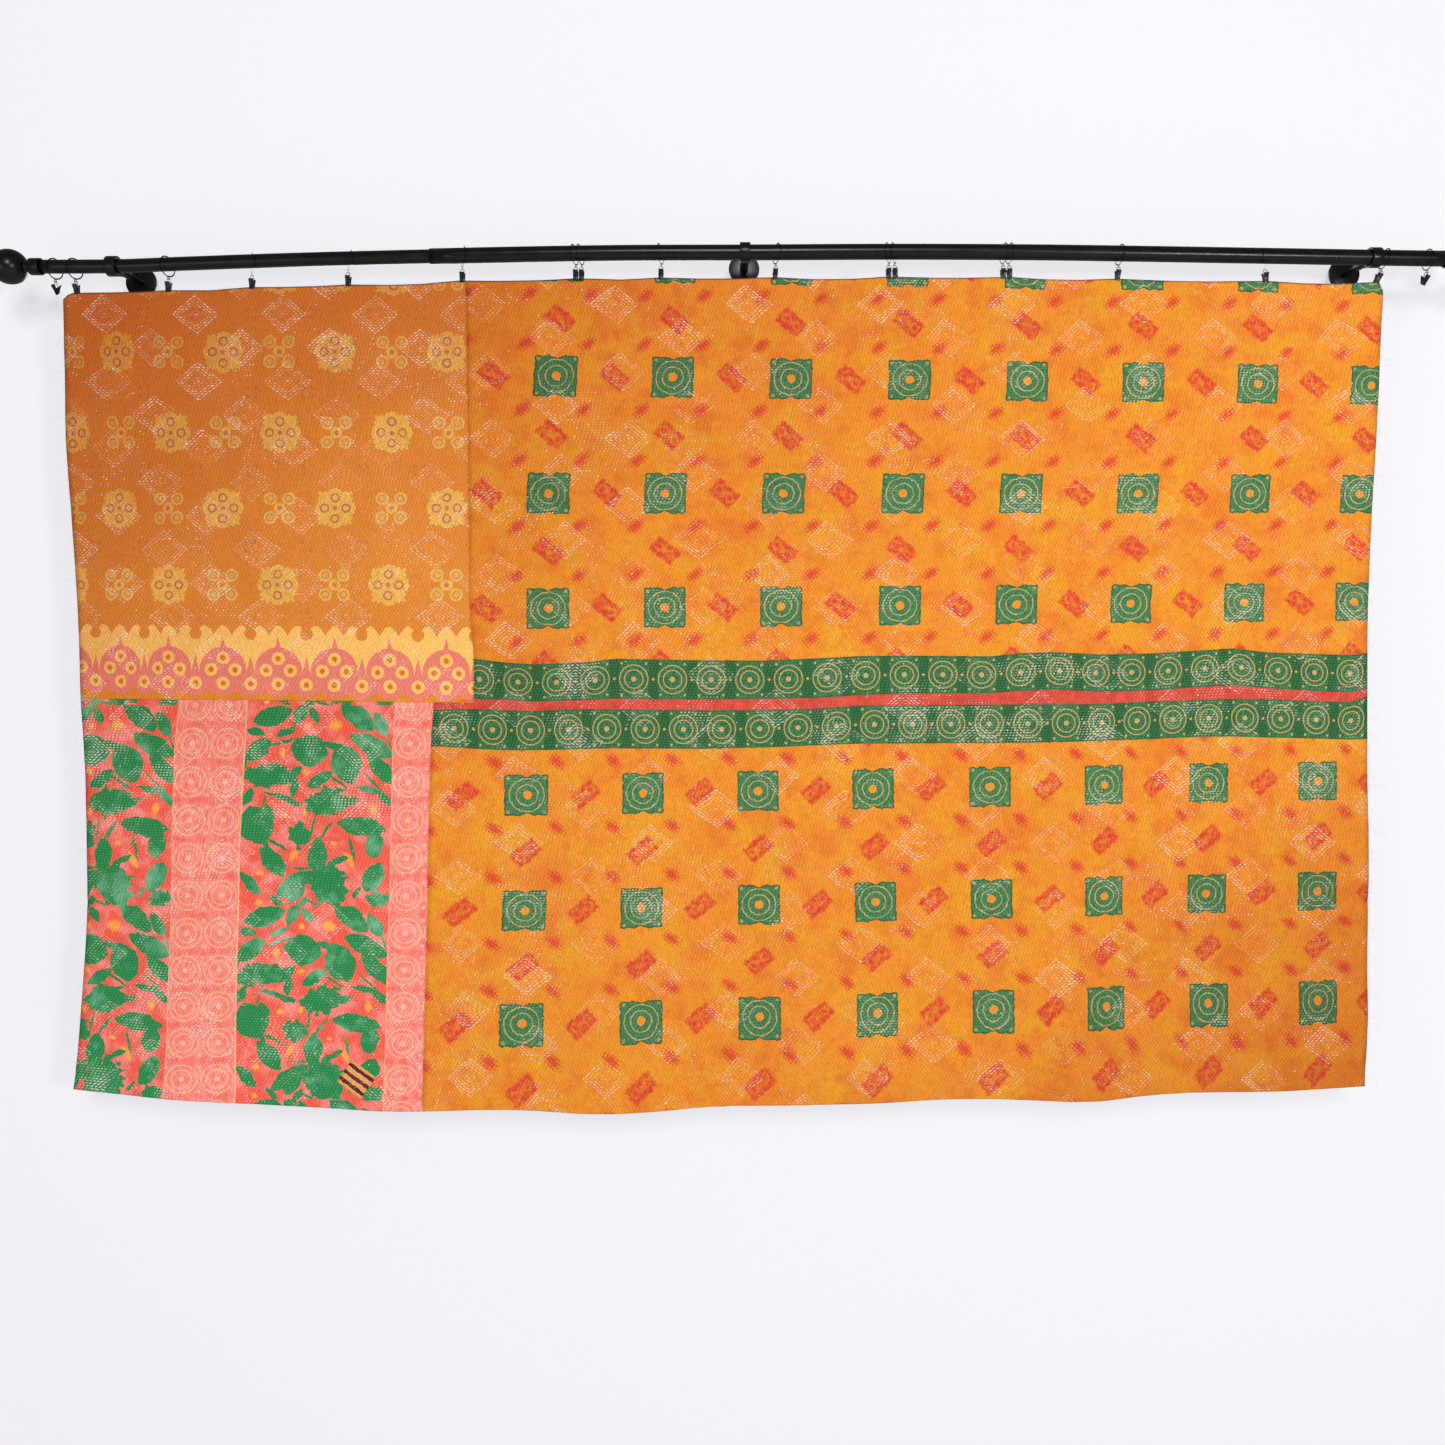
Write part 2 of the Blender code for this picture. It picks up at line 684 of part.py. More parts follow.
def make_quilt(grid):
    """The hanging quilt, as one sheet of even thickness on its folds."""
    rows, columns = len(grid), len(grid[0])
    work = bmesh.new()
    bmesh.ops.create_grid(work, x_segments=columns - 1, y_segments=rows - 1, size=0.5)
    for vert in work.verts:
        column = round((vert.co.x + 0.5) * (columns - 1))
        row = round((0.5 - vert.co.y) * (rows - 1))
        vert.co = grid[row][column]
    bmesh.ops.recalc_face_normals(work, faces=work.faces)
    mesh = to_mesh("kantha_quilt", work)
    smooth(mesh)
    quilt = add_object("quilt", mesh, "printed_cotton")
    body = quilt.modifiers.new("layers", "SOLIDIFY")
    body.thickness = QUILT_THICKNESS
    body.offset = 0.0
    body.use_even_offset = True
    return quilt


def edge_point(grid, side, z):
    """The point on the cloth's side edge at a height, along the grid's own edge."""
    edge = [row[0 if side == "left" else -1] for row in grid]
    for upper, lower in zip(edge, edge[1:]):
        if lower.z <= z <= upper.z:
            return upper.lerp(lower, (upper.z - z) / (upper.z - lower.z))
    return edge[-1]


def make_thread_ends(grid, side):
    """A narrow strip beside one cut edge, with the loose thread ends that hang from it."""
    outwards = -1 if side == "left" else 1
    count = THREADS[side]
    draws = random.Random(THREAD_SEED + count)
    half = THREAD_THICKNESS / 2
    pitch = (THREAD_TOP - THREAD_FOOT) / count
    shifts = [draws.uniform(-THREAD_SCATTER, THREAD_SCATTER) for _ in range(count)]
    middles = [THREAD_TOP - pitch * (i + 0.5 + shift) for i, shift in enumerate(shifts)]
    bends = [row[0 if side == "left" else -1].z for row in grid]
    heights = [z for z in bends if THREAD_FOOT < z < THREAD_TOP]
    heights = [z for z in heights if min(abs(z - middle) for middle in middles) > THREAD_THICKNESS]
    heights += [middle + half for middle in middles] + [middle - half for middle in middles]
    heights = sorted(heights + [THREAD_TOP, THREAD_FOOT], reverse=True)
    work = bmesh.new()
    corners = [(0, -1), (1, -1), (1, 1), (0, 1)]
    sections = []
    for z in heights:
        edge = edge_point(grid, side, z)
        ring = []
        for out, front in corners:
            x = edge.x + outwards * (THREAD_STRIP_GAP + out * THREAD_STRIP)
            ring.append(work.verts.new((x, edge.y + front * half, z)))
        sections.append(ring)
    for upper, lower in zip(sections, sections[1:]):
        for i in range(4):
            j = (i + 1) % 4
            work.faces.new((upper[i], upper[j], lower[j], lower[i]))
    work.faces.new(sections[0])
    work.faces.new(list(reversed(sections[-1])))
    bmesh.ops.recalc_face_normals(work, faces=work.faces)
    work.faces.ensure_lookup_table()
    roots = []
    for upper, lower in zip(sections, sections[1:]):
        if upper[0].co.z - lower[0].co.z < THREAD_THICKNESS + MERGE_DISTANCE:
            corner_set = {upper[1], upper[2], lower[1], lower[2]}
            roots.append(next(f for f in work.faces if set(f.verts) == corner_set))
    for face in roots:
        length = draws.uniform(*THREAD_LENGTHS)
        rise = draws.uniform(*ROOT_RISE)
        sway = draws.uniform(*ROOT_SWAY)
        stretches = [
            Vector((outwards * ROOT_OUT, sway, rise)),
            Vector((outwards * TIP_OUT, sway * TIP_SWAY, -TIP_FALL)),
        ]
        for way in stretches:
            face = bmesh.ops.extrude_discrete_faces(work, faces=[face])["faces"][0]
            bmesh.ops.translate(work, verts=face.verts, vec=way.normalized() * length / len(stretches))
            centre = face.calc_center_median()
            bmesh.ops.scale(
                work,
                verts=face.verts,
                vec=(THREAD_TIP_SHARE, THREAD_TIP_SHARE, THREAD_TIP_SHARE),
                space=Matrix.Translation(-centre),
            )
    bmesh.ops.recalc_face_normals(work, faces=work.faces)
    return add_object(f"thread_ends_{side}", to_mesh("thread_ends", work), "loose_thread")


def main():
    for old in list(bpy.data.objects):
        bpy.data.objects.remove(old)
    make_tube("rod_outer_tube", OUTER_TUBE_START, ROD_END_RIGHT, OUTER_TUBE_RADIUS)
    make_tube("rod_inner_tube", ROD_END_LEFT, OUTER_TUBE_START + TUBE_OVERLAP, INNER_TUBE_RADIUS)
    make_brackets()
    make_rod_ends()
    make_ring_clips()
    grid = quilt_grid()
    make_quilt(grid)
    for side in THREADS:
        make_thread_ends(grid, side)


main()
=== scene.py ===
"""The looks of a kantha quilt that hangs from ring clips on a curtain rod.

Metres, +Z up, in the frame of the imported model. The quilt's patches, backing,
loose threads, rings, clips and rod are each made by an operator of their own.
"""

import math
import random
from functools import partial

import bmesh
import bpy
import numpy as np
from mathutils import Matrix, Vector, noise
from mathutils.bvhtree import BVHTree


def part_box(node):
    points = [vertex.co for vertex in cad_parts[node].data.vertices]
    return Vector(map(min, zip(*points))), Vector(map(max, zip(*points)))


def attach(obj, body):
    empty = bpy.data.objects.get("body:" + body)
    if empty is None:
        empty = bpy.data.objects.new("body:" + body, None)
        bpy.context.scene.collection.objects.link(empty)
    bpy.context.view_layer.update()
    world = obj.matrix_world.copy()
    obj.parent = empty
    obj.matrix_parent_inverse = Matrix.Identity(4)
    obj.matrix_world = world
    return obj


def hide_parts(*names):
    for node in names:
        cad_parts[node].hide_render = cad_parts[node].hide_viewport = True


bl_info = {
    "name": "Kantha Quilt on a Rod",
    "version": (1, 0, 0),
    "blender": (4, 5, 0),
    "location": "View3D > Sidebar > Quilt",
    "description": "Dresses a hanging patchwork quilt, its clip rings and its rod",
    "category": "Object",
}

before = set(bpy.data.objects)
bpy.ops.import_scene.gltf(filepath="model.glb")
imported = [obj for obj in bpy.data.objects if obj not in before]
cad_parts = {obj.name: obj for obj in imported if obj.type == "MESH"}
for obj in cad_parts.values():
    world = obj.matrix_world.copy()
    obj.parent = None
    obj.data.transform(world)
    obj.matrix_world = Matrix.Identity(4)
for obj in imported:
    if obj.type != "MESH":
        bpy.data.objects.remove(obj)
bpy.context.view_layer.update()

MM = 0.001
MERGE_DISTANCE = 0.01 * MM
SMOOTH_UP_TO = math.radians(35)
BODY = "root"


def rgb(code):
    """A hex sRGB colour as the linear values that a shader takes."""
    channels = [int(code[i : i + 2], 16) / 255 for i in (1, 3, 5)]
    return tuple(c / 12.92 if c <= 0.04045 else ((c + 0.055) / 1.055) ** 2.4 for c in channels)


# Colours of the cloth, the threads and the metal: name, sRGB, what it is.
DYES = (
    ("marigold", "#E68E27", "Ground of the two large patches"),
    ("saffron", "#E49D21", "Yellow haze on the large patches' ground"),
    ("blotch", "#DA6620", "Soft blotches on the large patches' ground"),
    ("leaf_green", "#235F32", "Green squares and bands"),
    ("sea_green", "#4C8A5C", "Paler mottle of the green squares and bands"),
    ("vermilion", "#D53C2C", "Small red figures"),
    ("stripe_red", "#C04030", "Stripe between the green bands"),
    ("peach", "#E9B069", "Fine rings printed on green"),
    ("rust", "#E68F34", "Ground of the upper left patch"),
    ("ochre", "#F2C25C", "Figures of the upper left patch"),
    ("mauve", "#C26860", "Small rings in the upper left patch"),
    ("border_yellow", "#FFC96A", "Crest of the border"),
    ("border_pink", "#EE8474", "Domes of the border"),
    ("coral", "#F25E4A", "Ground of the leafy columns"),
    ("rose", "#FA958C", "Ground of the ringed columns"),
    ("meadow", "#22894A", "Leaves"),
    ("worn_green", "#88C8A2", "Leaves where they are rubbed"),
    ("flower_yellow", "#FDA83C", "Flowers' hearts"),
    ("ring_line", "#FAB888", "Fine rings printed on rose"),
    ("indigo", "#36406C", "Plain cloth of the back"),
    ("bark", "#3A1C10", "Dark thread on the face"),
    ("plum", "#5A3A6A", "Purple cast of the back"),
    ("teal", "#2A6272", "Teal cast of the back"),
    ("cream", "#FBF3E4", "Undyed thread"),
    ("soiled", "#D9D2C8", "Undyed thread where it is soiled"),
    ("brown_stripe", "#5A1E2C", "Dark stripes of the mend"),
    ("straw_stripe", "#E9A357", "Light stripes of the mend"),
)


def length_setting(label, text, default):
    """A length that a user may change."""
    return bpy.props.FloatProperty(
        name=label, description=text, default=default, unit="LENGTH", precision=5
    )


def colour_setting(label, text, code):
    """A colour that a user may change."""
    return bpy.props.FloatVectorProperty(
        name=label, description=text, default=rgb(code), size=3, min=0.0, max=1.0, subtype="COLOR"
    )


class QUILT_PG_dyes(bpy.types.PropertyGroup):
    """Colours of the cloth and its threads."""


for key, code, text in DYES:
    QUILT_PG_dyes.__annotations__[key] = colour_setting(key.replace("_", " ").capitalize(), text, code)


class QUILT_PG_sewing(bpy.types.PropertyGroup):
    """Sizes of the layers and of the running stitch."""

    row_pitch: length_setting("Row pitch", "Height of one row of running stitch", 4.3 * MM)
    stitch_pitch: length_setting("Stitch pitch", "A stitch and the gap after it", 5.6 * MM)
    ridge: length_setting("Ridge", "How far the cloth puffs out between two rows", 0.25 * MM)
    column: length_setting("Column", "Width of one cell of the patches' mesh", 10 * MM)
    layers: length_setting("Layers", "Thickness of the layers and the back", 2.0 * MM)
    patch: length_setting("Patch", "Thickness of a patch's cloth", 0.5 * MM)
    lap: length_setting("Lap", "How far a patch runs under its neighbour", 1.5 * MM)
    thread: length_setting("Loose thread", "Radius of a loose thread", 0.28 * MM)


class QUILT_PG_metal(bpy.types.PropertyGroup):
    """Sizes of the wire and the pressed steel."""

    ring_radius: length_setting("Ring radius", "Middle radius of a ring", 16.2 * MM)
    ring_wire: length_setting("Ring wire", "Radius of a ring's wire", 1.1 * MM)
    clip_width: length_setting("Clip width", "Width of a clip's jaws", 8.0 * MM)
    clip_plate: length_setting("Clip plate", "Thickness of a clip's pressed steel", 0.7 * MM)
    black: colour_setting("Black", "Powder coat of the rod and its brackets", "#0A080A")
    lacquer: colour_setting("Lacquer", "Lacquer of the rings and clips", "#0C0D10")
    scuffed: colour_setting("Scuffed", "Lacquer where it is scuffed", "#232830")
    wire: colour_setting("Wire", "Nickel plate of the links", "#8A8B90")
    wire_mark: colour_setting("Wire mark", "Drawing marks on the links", "#55565C")


class QUILT_PG_stage(bpy.types.PropertyGroup):
    """The pale room that the quilt is shown in."""

    floor_drop: length_setting("Floor", "How far the floor lies below the rod", 2.1)
    key_power: bpy.props.FloatProperty(
        name="Key", description="Power of the soft light", default=77.0, unit="POWER"
    )
    fill: bpy.props.FloatProperty(name="Fill", description="Strength of the pale surround", default=0.22)
    floor: colour_setting("Floor", "Pale floor", "#F2F1F3")
    paper: colour_setting("Paper", "Backdrop paper under the light", "#F4F3F6")
    glow: colour_setting("Glow", "Evenly lit share of the backdrop", "#F9F7FC")
    surround: colour_setting("Surround", "Pale surround", "#FBF9FE")


def settings(group):
    """The settings of one group on the open scene."""
    return getattr(bpy.context.scene, f"quilt_{group}")


def dye(key, group="dyes"):
    """A colour of a group with its alpha, as a shader socket takes it."""
    return (*getattr(settings(group), key), 1.0)


# Nodes


def add_node(tree, kind, inputs=(), out=0, stops=None, **choices):
    """Adds a shader node with its choices and inputs, and gives one output, or all of them.

    A kind in capitals is an operation of the Math node.
    """
    if kind.isupper():
        kind, choices["operation"] = "Math", kind
    made = tree.nodes.new(f"ShaderNode{kind}")
    for choice, value in choices.items():
        setattr(made, choice, value)
    for key, value in inputs.items() if isinstance(inputs, dict) else enumerate(inputs):
        if isinstance(value, bpy.types.NodeSocket):
            link(value, made.inputs[key])
        else:
            made.inputs[key].default_value = value
    for number, (place, level) in enumerate(stops or ()):
        elements = made.color_ramp.elements
        element = elements[number] if number < 2 else elements.new(place)
        element.position = place
        element.color = (level, level, level, 1.0)
    return made.outputs if out is None else made.outputs[out]


def link(source, target):
    """Links an output to an input of the same tree."""
    target.id_data.links.new(source, target)


def start_group(name, takes, gives):
    """An empty node group: its tree, its maker of nodes, what it is given and what it results in."""
    tree = bpy.data.node_groups.new(name, "ShaderNodeTree")
    for way, sockets in (("INPUT", takes), ("OUTPUT", gives)):
        for socket, kind in sockets:
            tree.interface.new_socket(socket, in_out=way, socket_type=f"NodeSocket{kind}")
    given = tree.nodes.new("NodeGroupInput")
    result = tree.nodes.new("NodeGroupOutput")
    return tree, partial(add_node, tree), given.outputs, result.inputs


def start_material(name, roughness, metallic=0.0, **sockets):
    """A material, its maker of nodes, the place on the piece, and its shader's inputs."""
    material = bpy.data.materials.new(name)
    material.use_nodes = True
    shader = material.node_tree.nodes["Principled BSDF"]
    shader.inputs["Roughness"].default_value = roughness
    shader.inputs["Metallic"].default_value = metallic
    for socket, value in sockets.items():
        shader.inputs[socket.replace("_", " ")].default_value = value
    put = partial(add_node, material.node_tree)
    return material, put, put("TexCoord", out="Object"), shader.inputs


def mottled(put, cloth, scale, detail, spread, levels, **more):
    """Cloudy variation: a noise of so many clouds a metre, its spread drawn out between two levels."""
    clouds = put("TexNoise", {"Vector": cloth, "Scale": scale, "Detail": detail, **more})
    return put("MapRange", (clouds, *spread, *levels))


def inked(put, ground, *inks):
    """A ground under inks, each laid on as far as its mask says. A dye may be given by its name."""
    colour = dye(ground) if isinstance(ground, str) else ground
    for mask, ink in inks:
        ink = dye(ink) if isinstance(ink, str) else ink
        colour = put("Mix", {0: mask, 6: colour, 7: ink}, 2, data_type="RGBA")
    return colour


def off_whole(put, value):
    """How far a value is from the nearest whole number."""
    return put("SUBTRACT", (value, put("ROUND", (value,))))


def ragged_edge(put, cloth, scale, detail, reach):
    """How far a printed edge strays at a point."""
    stray = put("TexNoise", {"Vector": cloth, "Scale": scale, "Detail": detail}, "Color")
    stray = put("VectorMath", (stray, (0.5, 0.5, 0.5)), operation="SUBTRACT")
    return put("VectorMath", {0: stray, "Scale": reach}, operation="SCALE")


# Running stitch. Threads lie in the valleys between puffed rows. Undyed stitches
# show pale in diamonds, which stand in a half-drop repeat and are worked as a few
# outlines, each stitch stepping along its outline from row to row.
THREAD_HALF = 0.24
THREAD_MORE = 0.12
THREAD_SHARE = 0.66
ROW_SLIP = 0.29
ROW_UNEVEN = 0.3
DRIFT = 3.0
DRIFT_ROWS = 27.0
DIAMOND_HEIGHT = 109 * MM
DIAMOND_HALF = (38 * MM, 32 * MM)
DIAMOND_LEAN = 0.07
DIAMOND_STITCHES = 5.6
PUFF_MM = 0.45
THREAD_MM = 0.25
WEAVE_MM = 0.05


def stitch_group():
    """Lays rows of running stitch over a printed colour, and raises them."""
    takes = (
        ("Rows", "Vector"),
        ("Cloth", "Vector"),
        ("Colour", "Color"),
        ("Diamonds", "Vector"),
        ("White", "Float"),
    )
    gives = (("Colour", "Color"), ("Height", "Float"))
    tree, put, given, result = start_group("running_stitch", takes, gives)

    along, rows, _ = put("SeparateXYZ", (given["Rows"],), None)
    shifted = put("ADD", (rows, 0.5))
    row = put("FLOOR", (shifted,))
    in_row = put("SUBTRACT", (put("FRACT", (shifted,)), 0.5))

    # Diamonds: their half-drop repeat is square on its diagonals.
    place_x, _, place_z = put("SeparateXYZ", (given["Cloth"],), None)
    start_x, start_z, width = put("SeparateXYZ", (given["Diamonds"],), None)
    wander = put("TexNoise", {"Vector": given["Cloth"], "Scale": 7.0, "Detail": 1.0})
    worn = put("TexNoise", {"Vector": given["Cloth"], "Scale": 16.0, "Detail": 3.0})
    leaning = put("MULTIPLY_ADD", (place_z, DIAMOND_LEAN, place_x))
    drift = put("DIVIDE", (put("SUBTRACT", (leaning, start_x)), width))
    across = put("MULTIPLY_ADD", (wander, 0.12, drift))
    across = put("MULTIPLY_ADD", (worn, 0.1, across))
    down = put("SUBTRACT", (place_z, start_z))
    down = put("MULTIPLY", (down, 1 / DIAMOND_HEIGHT))
    first = put("ADD", (across, down))
    second = put("SUBTRACT", (across, down))
    first_number = put("ROUND", (first,))
    second_number = put("ROUND", (second,))
    first_off = put("SUBTRACT", (first, first_number))
    second_off = put("SUBTRACT", (second, second_number))
    off_x = put("ABSOLUTE", (put("ADD", (first_off, second_off)),))
    off_z = put("ABSOLUTE", (put("SUBTRACT", (first_off, second_off)),))
    share_x = put("MULTIPLY", (put("MULTIPLY", (off_x, width)), 0.5 / DIAMOND_HALF[0]))
    size = put("MULTIPLY_ADD", (off_z, 0.5 * DIAMOND_HEIGHT / DIAMOND_HALF[1], share_x))
    outline = put(
        "ValToRGB",
        (put("MULTIPLY", (size, 0.5)),),
        stops=((0.0, 0.6), (0.1, 0.45), (0.15, 0.05), (0.26, 0.05), (0.32, 0.9), (0.52, 1.0), (0.56, 0.0)),
    )
    spot = put("CombineXYZ", (first_number, second_number))
    strong = put("TexWhiteNoise", {"Vector": spot}, noise_dimensions="2D")
    strong = put("MapRange", (strong, 0.0, 0.7, 0.4, 1.0))
    patchy = put("MapRange", (worn, 0.35, 0.55, 0.35, 1.0))
    share = put("MULTIPLY", (put("MULTIPLY", (outline, strong)), patchy))
    worn = put("MapRange", (worn, 0.54, 0.7, 0.002, 0.17))
    worn = put("MULTIPLY", (put("MULTIPLY", (worn, given["White"])), given["White"]))
    odds = put("MULTIPLY_ADD", (share, 0.12, worn))

    # Stitches along the rows.
    off_valley = put("ABSOLUTE", (in_row,))
    slow = put("SINE", (put("MULTIPLY", (row, 1 / DRIFT_ROWS)),))
    slow = put("ADD", (slow, wander))
    stepped = put("MULTIPLY_ADD", (row, ROW_SLIP, put("MULTIPLY", (slow, DRIFT))))
    uneven = put("TexWhiteNoise", {"W": row}, noise_dimensions="1D")
    stepped = put("MULTIPLY_ADD", (uneven, ROW_UNEVEN, stepped))
    plain = put("MULTIPLY_ADD", (along, 1 / settings("sewing").stitch_pitch, stepped))
    worked = put("MULTIPLY", (size, DIAMOND_STITCHES))
    in_diamond = put("LESS_THAN", (size, 1.1))
    phase = put("Mix", {0: in_diamond, 2: plain, 3: worked}, data_type="FLOAT")
    stitch = put("FLOOR", (phase,))
    in_stitch = put("FRACT", (phase,))
    side = put("ADD", (first_off, second_off))
    which = put("CombineXYZ", (stitch, row, put("SIGN", (side,))))
    draws = put("TexWhiteNoise", {"Vector": which}, None, noise_dimensions="3D")
    reach = put("MULTIPLY_ADD", (draws["Value"], 0.24, THREAD_SHARE - 0.12))
    lengthways = put("MULTIPLY_ADD", (put("DIVIDE", (in_stitch, reach)), 2.0, -1.0))
    half = put("MULTIPLY_ADD", (in_diamond, THREAD_MORE, THREAD_HALF))
    sideways = put("DIVIDE", (off_valley, half))
    thread = put("VectorMath", (put("CombineXYZ", (lengthways, sideways)),), "Value", operation="LENGTH")
    thread = put("MapRange", (thread, 0.7, 1.2, 1.0, 0.0))
    draw, bright, _ = put("SeparateXYZ", (draws["Color"],), None)
    white = put("LESS_THAN", (draw, odds))

    # Colour: painted shade darkens the valleys and a little painted light lifts the puffed ridges; threads
    # are paler, and undyed ones pale to cream.
    puff = put("SINE", (put("MULTIPLY", (off_valley, math.pi)),))
    shade = put("MapRange", (puff, 0.0, 0.8, 0.76, 1.05))
    shaded = put("VectorMath", {0: given["Colour"], "Scale": shade}, operation="SCALE")
    tinted = put("MULTIPLY", (put("MapRange", (bright, 0.0, 1.0, 0.06, 0.5)), share))
    white = put("MULTIPLY", (white, put("MapRange", (bright, 0.0, 1.0, 0.25, 0.65))))
    pale = put("MAXIMUM", (tinted, white))
    dyed = put("VectorMath", {0: given["Colour"], "Scale": 1.16}, operation="SCALE")
    undyed = put("MapRange", (given["White"], 1.0, 2.2, 0.03, 0.07))
    undyed = put("MULTIPLY_ADD", (worn, 0.6, undyed))
    dyed = inked(put, dyed, (undyed, "cream"))
    laid = inked(put, dyed, (pale, "cream"))
    thread_cover = put("MULTIPLY", (thread, 0.9))
    colour = inked(put, shaded, (thread_cover, laid))
    weave = put("TexNoise", {"Vector": given["Cloth"], "Scale": 900.0, "Detail": 1.0})
    height = put("MULTIPLY", (thread, THREAD_MM))
    height = put("MULTIPLY_ADD", (puff, PUFF_MM, height))
    height = put("MULTIPLY_ADD", (weave, WEAVE_MM, height))
    link(colour, result["Colour"])
    link(height, result["Height"])
    return tree


# The cloth's colour is lighter along a diagonal band from its lower left to its upper right, and darker and
# deeper towards its upper left corner and, less so, its lower right one.
SPAN = (2.15, 1.34)
CLOTH_START = (-1.1, 0.0)
DEEP_TONE = (0.52, 0.27, 0.15, 1.0)
DIAGONAL_TONE = ((0.0, 0.0), (0.15, 0.32), (0.25, 0.58), (0.4, 0.86), (0.52, 1.0), (0.78, 0.95), (1.0, 0.4))


def finish_cotton(put, cloth, shader, colour, diamonds, white):
    """Darkens a printed colour towards two corners, flecks it, lays the stitches over it and ends the
    material.
    """
    place_x, _, place_z = put("SeparateXYZ", (cloth,), None)
    across = put("MULTIPLY_ADD", (place_x, 0.5 / SPAN[0], -0.5 * CLOTH_START[0] / SPAN[0]))
    diagonal = put("MULTIPLY_ADD", (place_z, -0.5 / SPAN[1], across))
    cloudy = put("TexNoise", {"Vector": cloth, "Scale": 3.2, "Detail": 4.0, "Roughness": 0.6})
    diagonal = put("MULTIPLY_ADD", (put("SUBTRACT", (cloudy, 0.5)), 0.25, diagonal))
    # Darker, deeper colour towards two corners, lighter along the diagonal band.
    lighter_share = put("ValToRGB", (diagonal,), stops=DIAGONAL_TONE)
    deep = put("Mix", {0: 1.0, 6: colour, 7: DEEP_TONE}, 2, data_type="RGBA", blend_type="MULTIPLY")
    colour = inked(put, deep, (lighter_share, colour))
    fleck = mottled(put, cloth, 240.0, 2.0, (0.3, 0.7), (0.9, 1.1))
    toned = put("VectorMath", {0: colour, "Scale": fleck}, operation="SCALE")
    rows = put("UVMap", uv_map="Rows")
    stitched = put(
        "Group",
        {"Rows": rows, "Cloth": cloth, "Colour": toned, "Diamonds": diamonds, "White": white},
        None,
        node_tree=bpy.data.node_groups.get("running_stitch") or stitch_group(),
    )
    bump = put("Bump", {"Height": stitched["Height"], "Distance": MM, "Strength": 0.65})
    link(stitched["Colour"], shader["Base Color"])
    link(bump, shader["Normal"])


# Where a diamond's middle stands, and how far it is to the next one in its row.
WIDE_DIAMONDS = (22 * MM, -84 * MM, 214 * MM)
CLOSE_DIAMONDS = (-1029 * MM, -100 * MM, 146 * MM)


# The square print of the two large patches. Columns are a cell's own, about
# 188 mm each way, and a square medallion stands at each whole column and row.
CELL = 187 * MM
SQUARE_HALF = 33.3 * MM
SQUARE_RINGS = (16.5, 26.6)
SQUARE_LINE_HALF = 0.6
SQUARE_HEART = 6.8
# How far the top and foot of a square stand from its middle, from its notch to its
# corner: least, then what the humps add.
SQUARE_REACH = (29.0 * MM, 4.8 * MM)
SQUARE_HUMPS = ((0.0, 0.0), (0.1, 0.3), (0.26, 0.78), (0.38, 1.0), (0.6, 0.7), (0.86, 0.9), (1.0, 0.6))
LOZENGE_HALF = (21.5 * MM, 13.5 * MM)
LOZENGE_TURN = math.radians(40)
LOZENGE_EYE = 11.5 * MM
LOZENGE_EYE_RADIUS = 6.0 * MM
PAW_PLACE = (0.255, 0.285)
PAW_HALF = (14.5 * MM, 8.5 * MM)
PAW_TURN = math.radians(-38)
PAW_DOT = 5.2 * MM
CORNER_DOT = (27.8 * MM, 27.5 * MM, 0)
HEART_RADIUS = 7.4 * MM


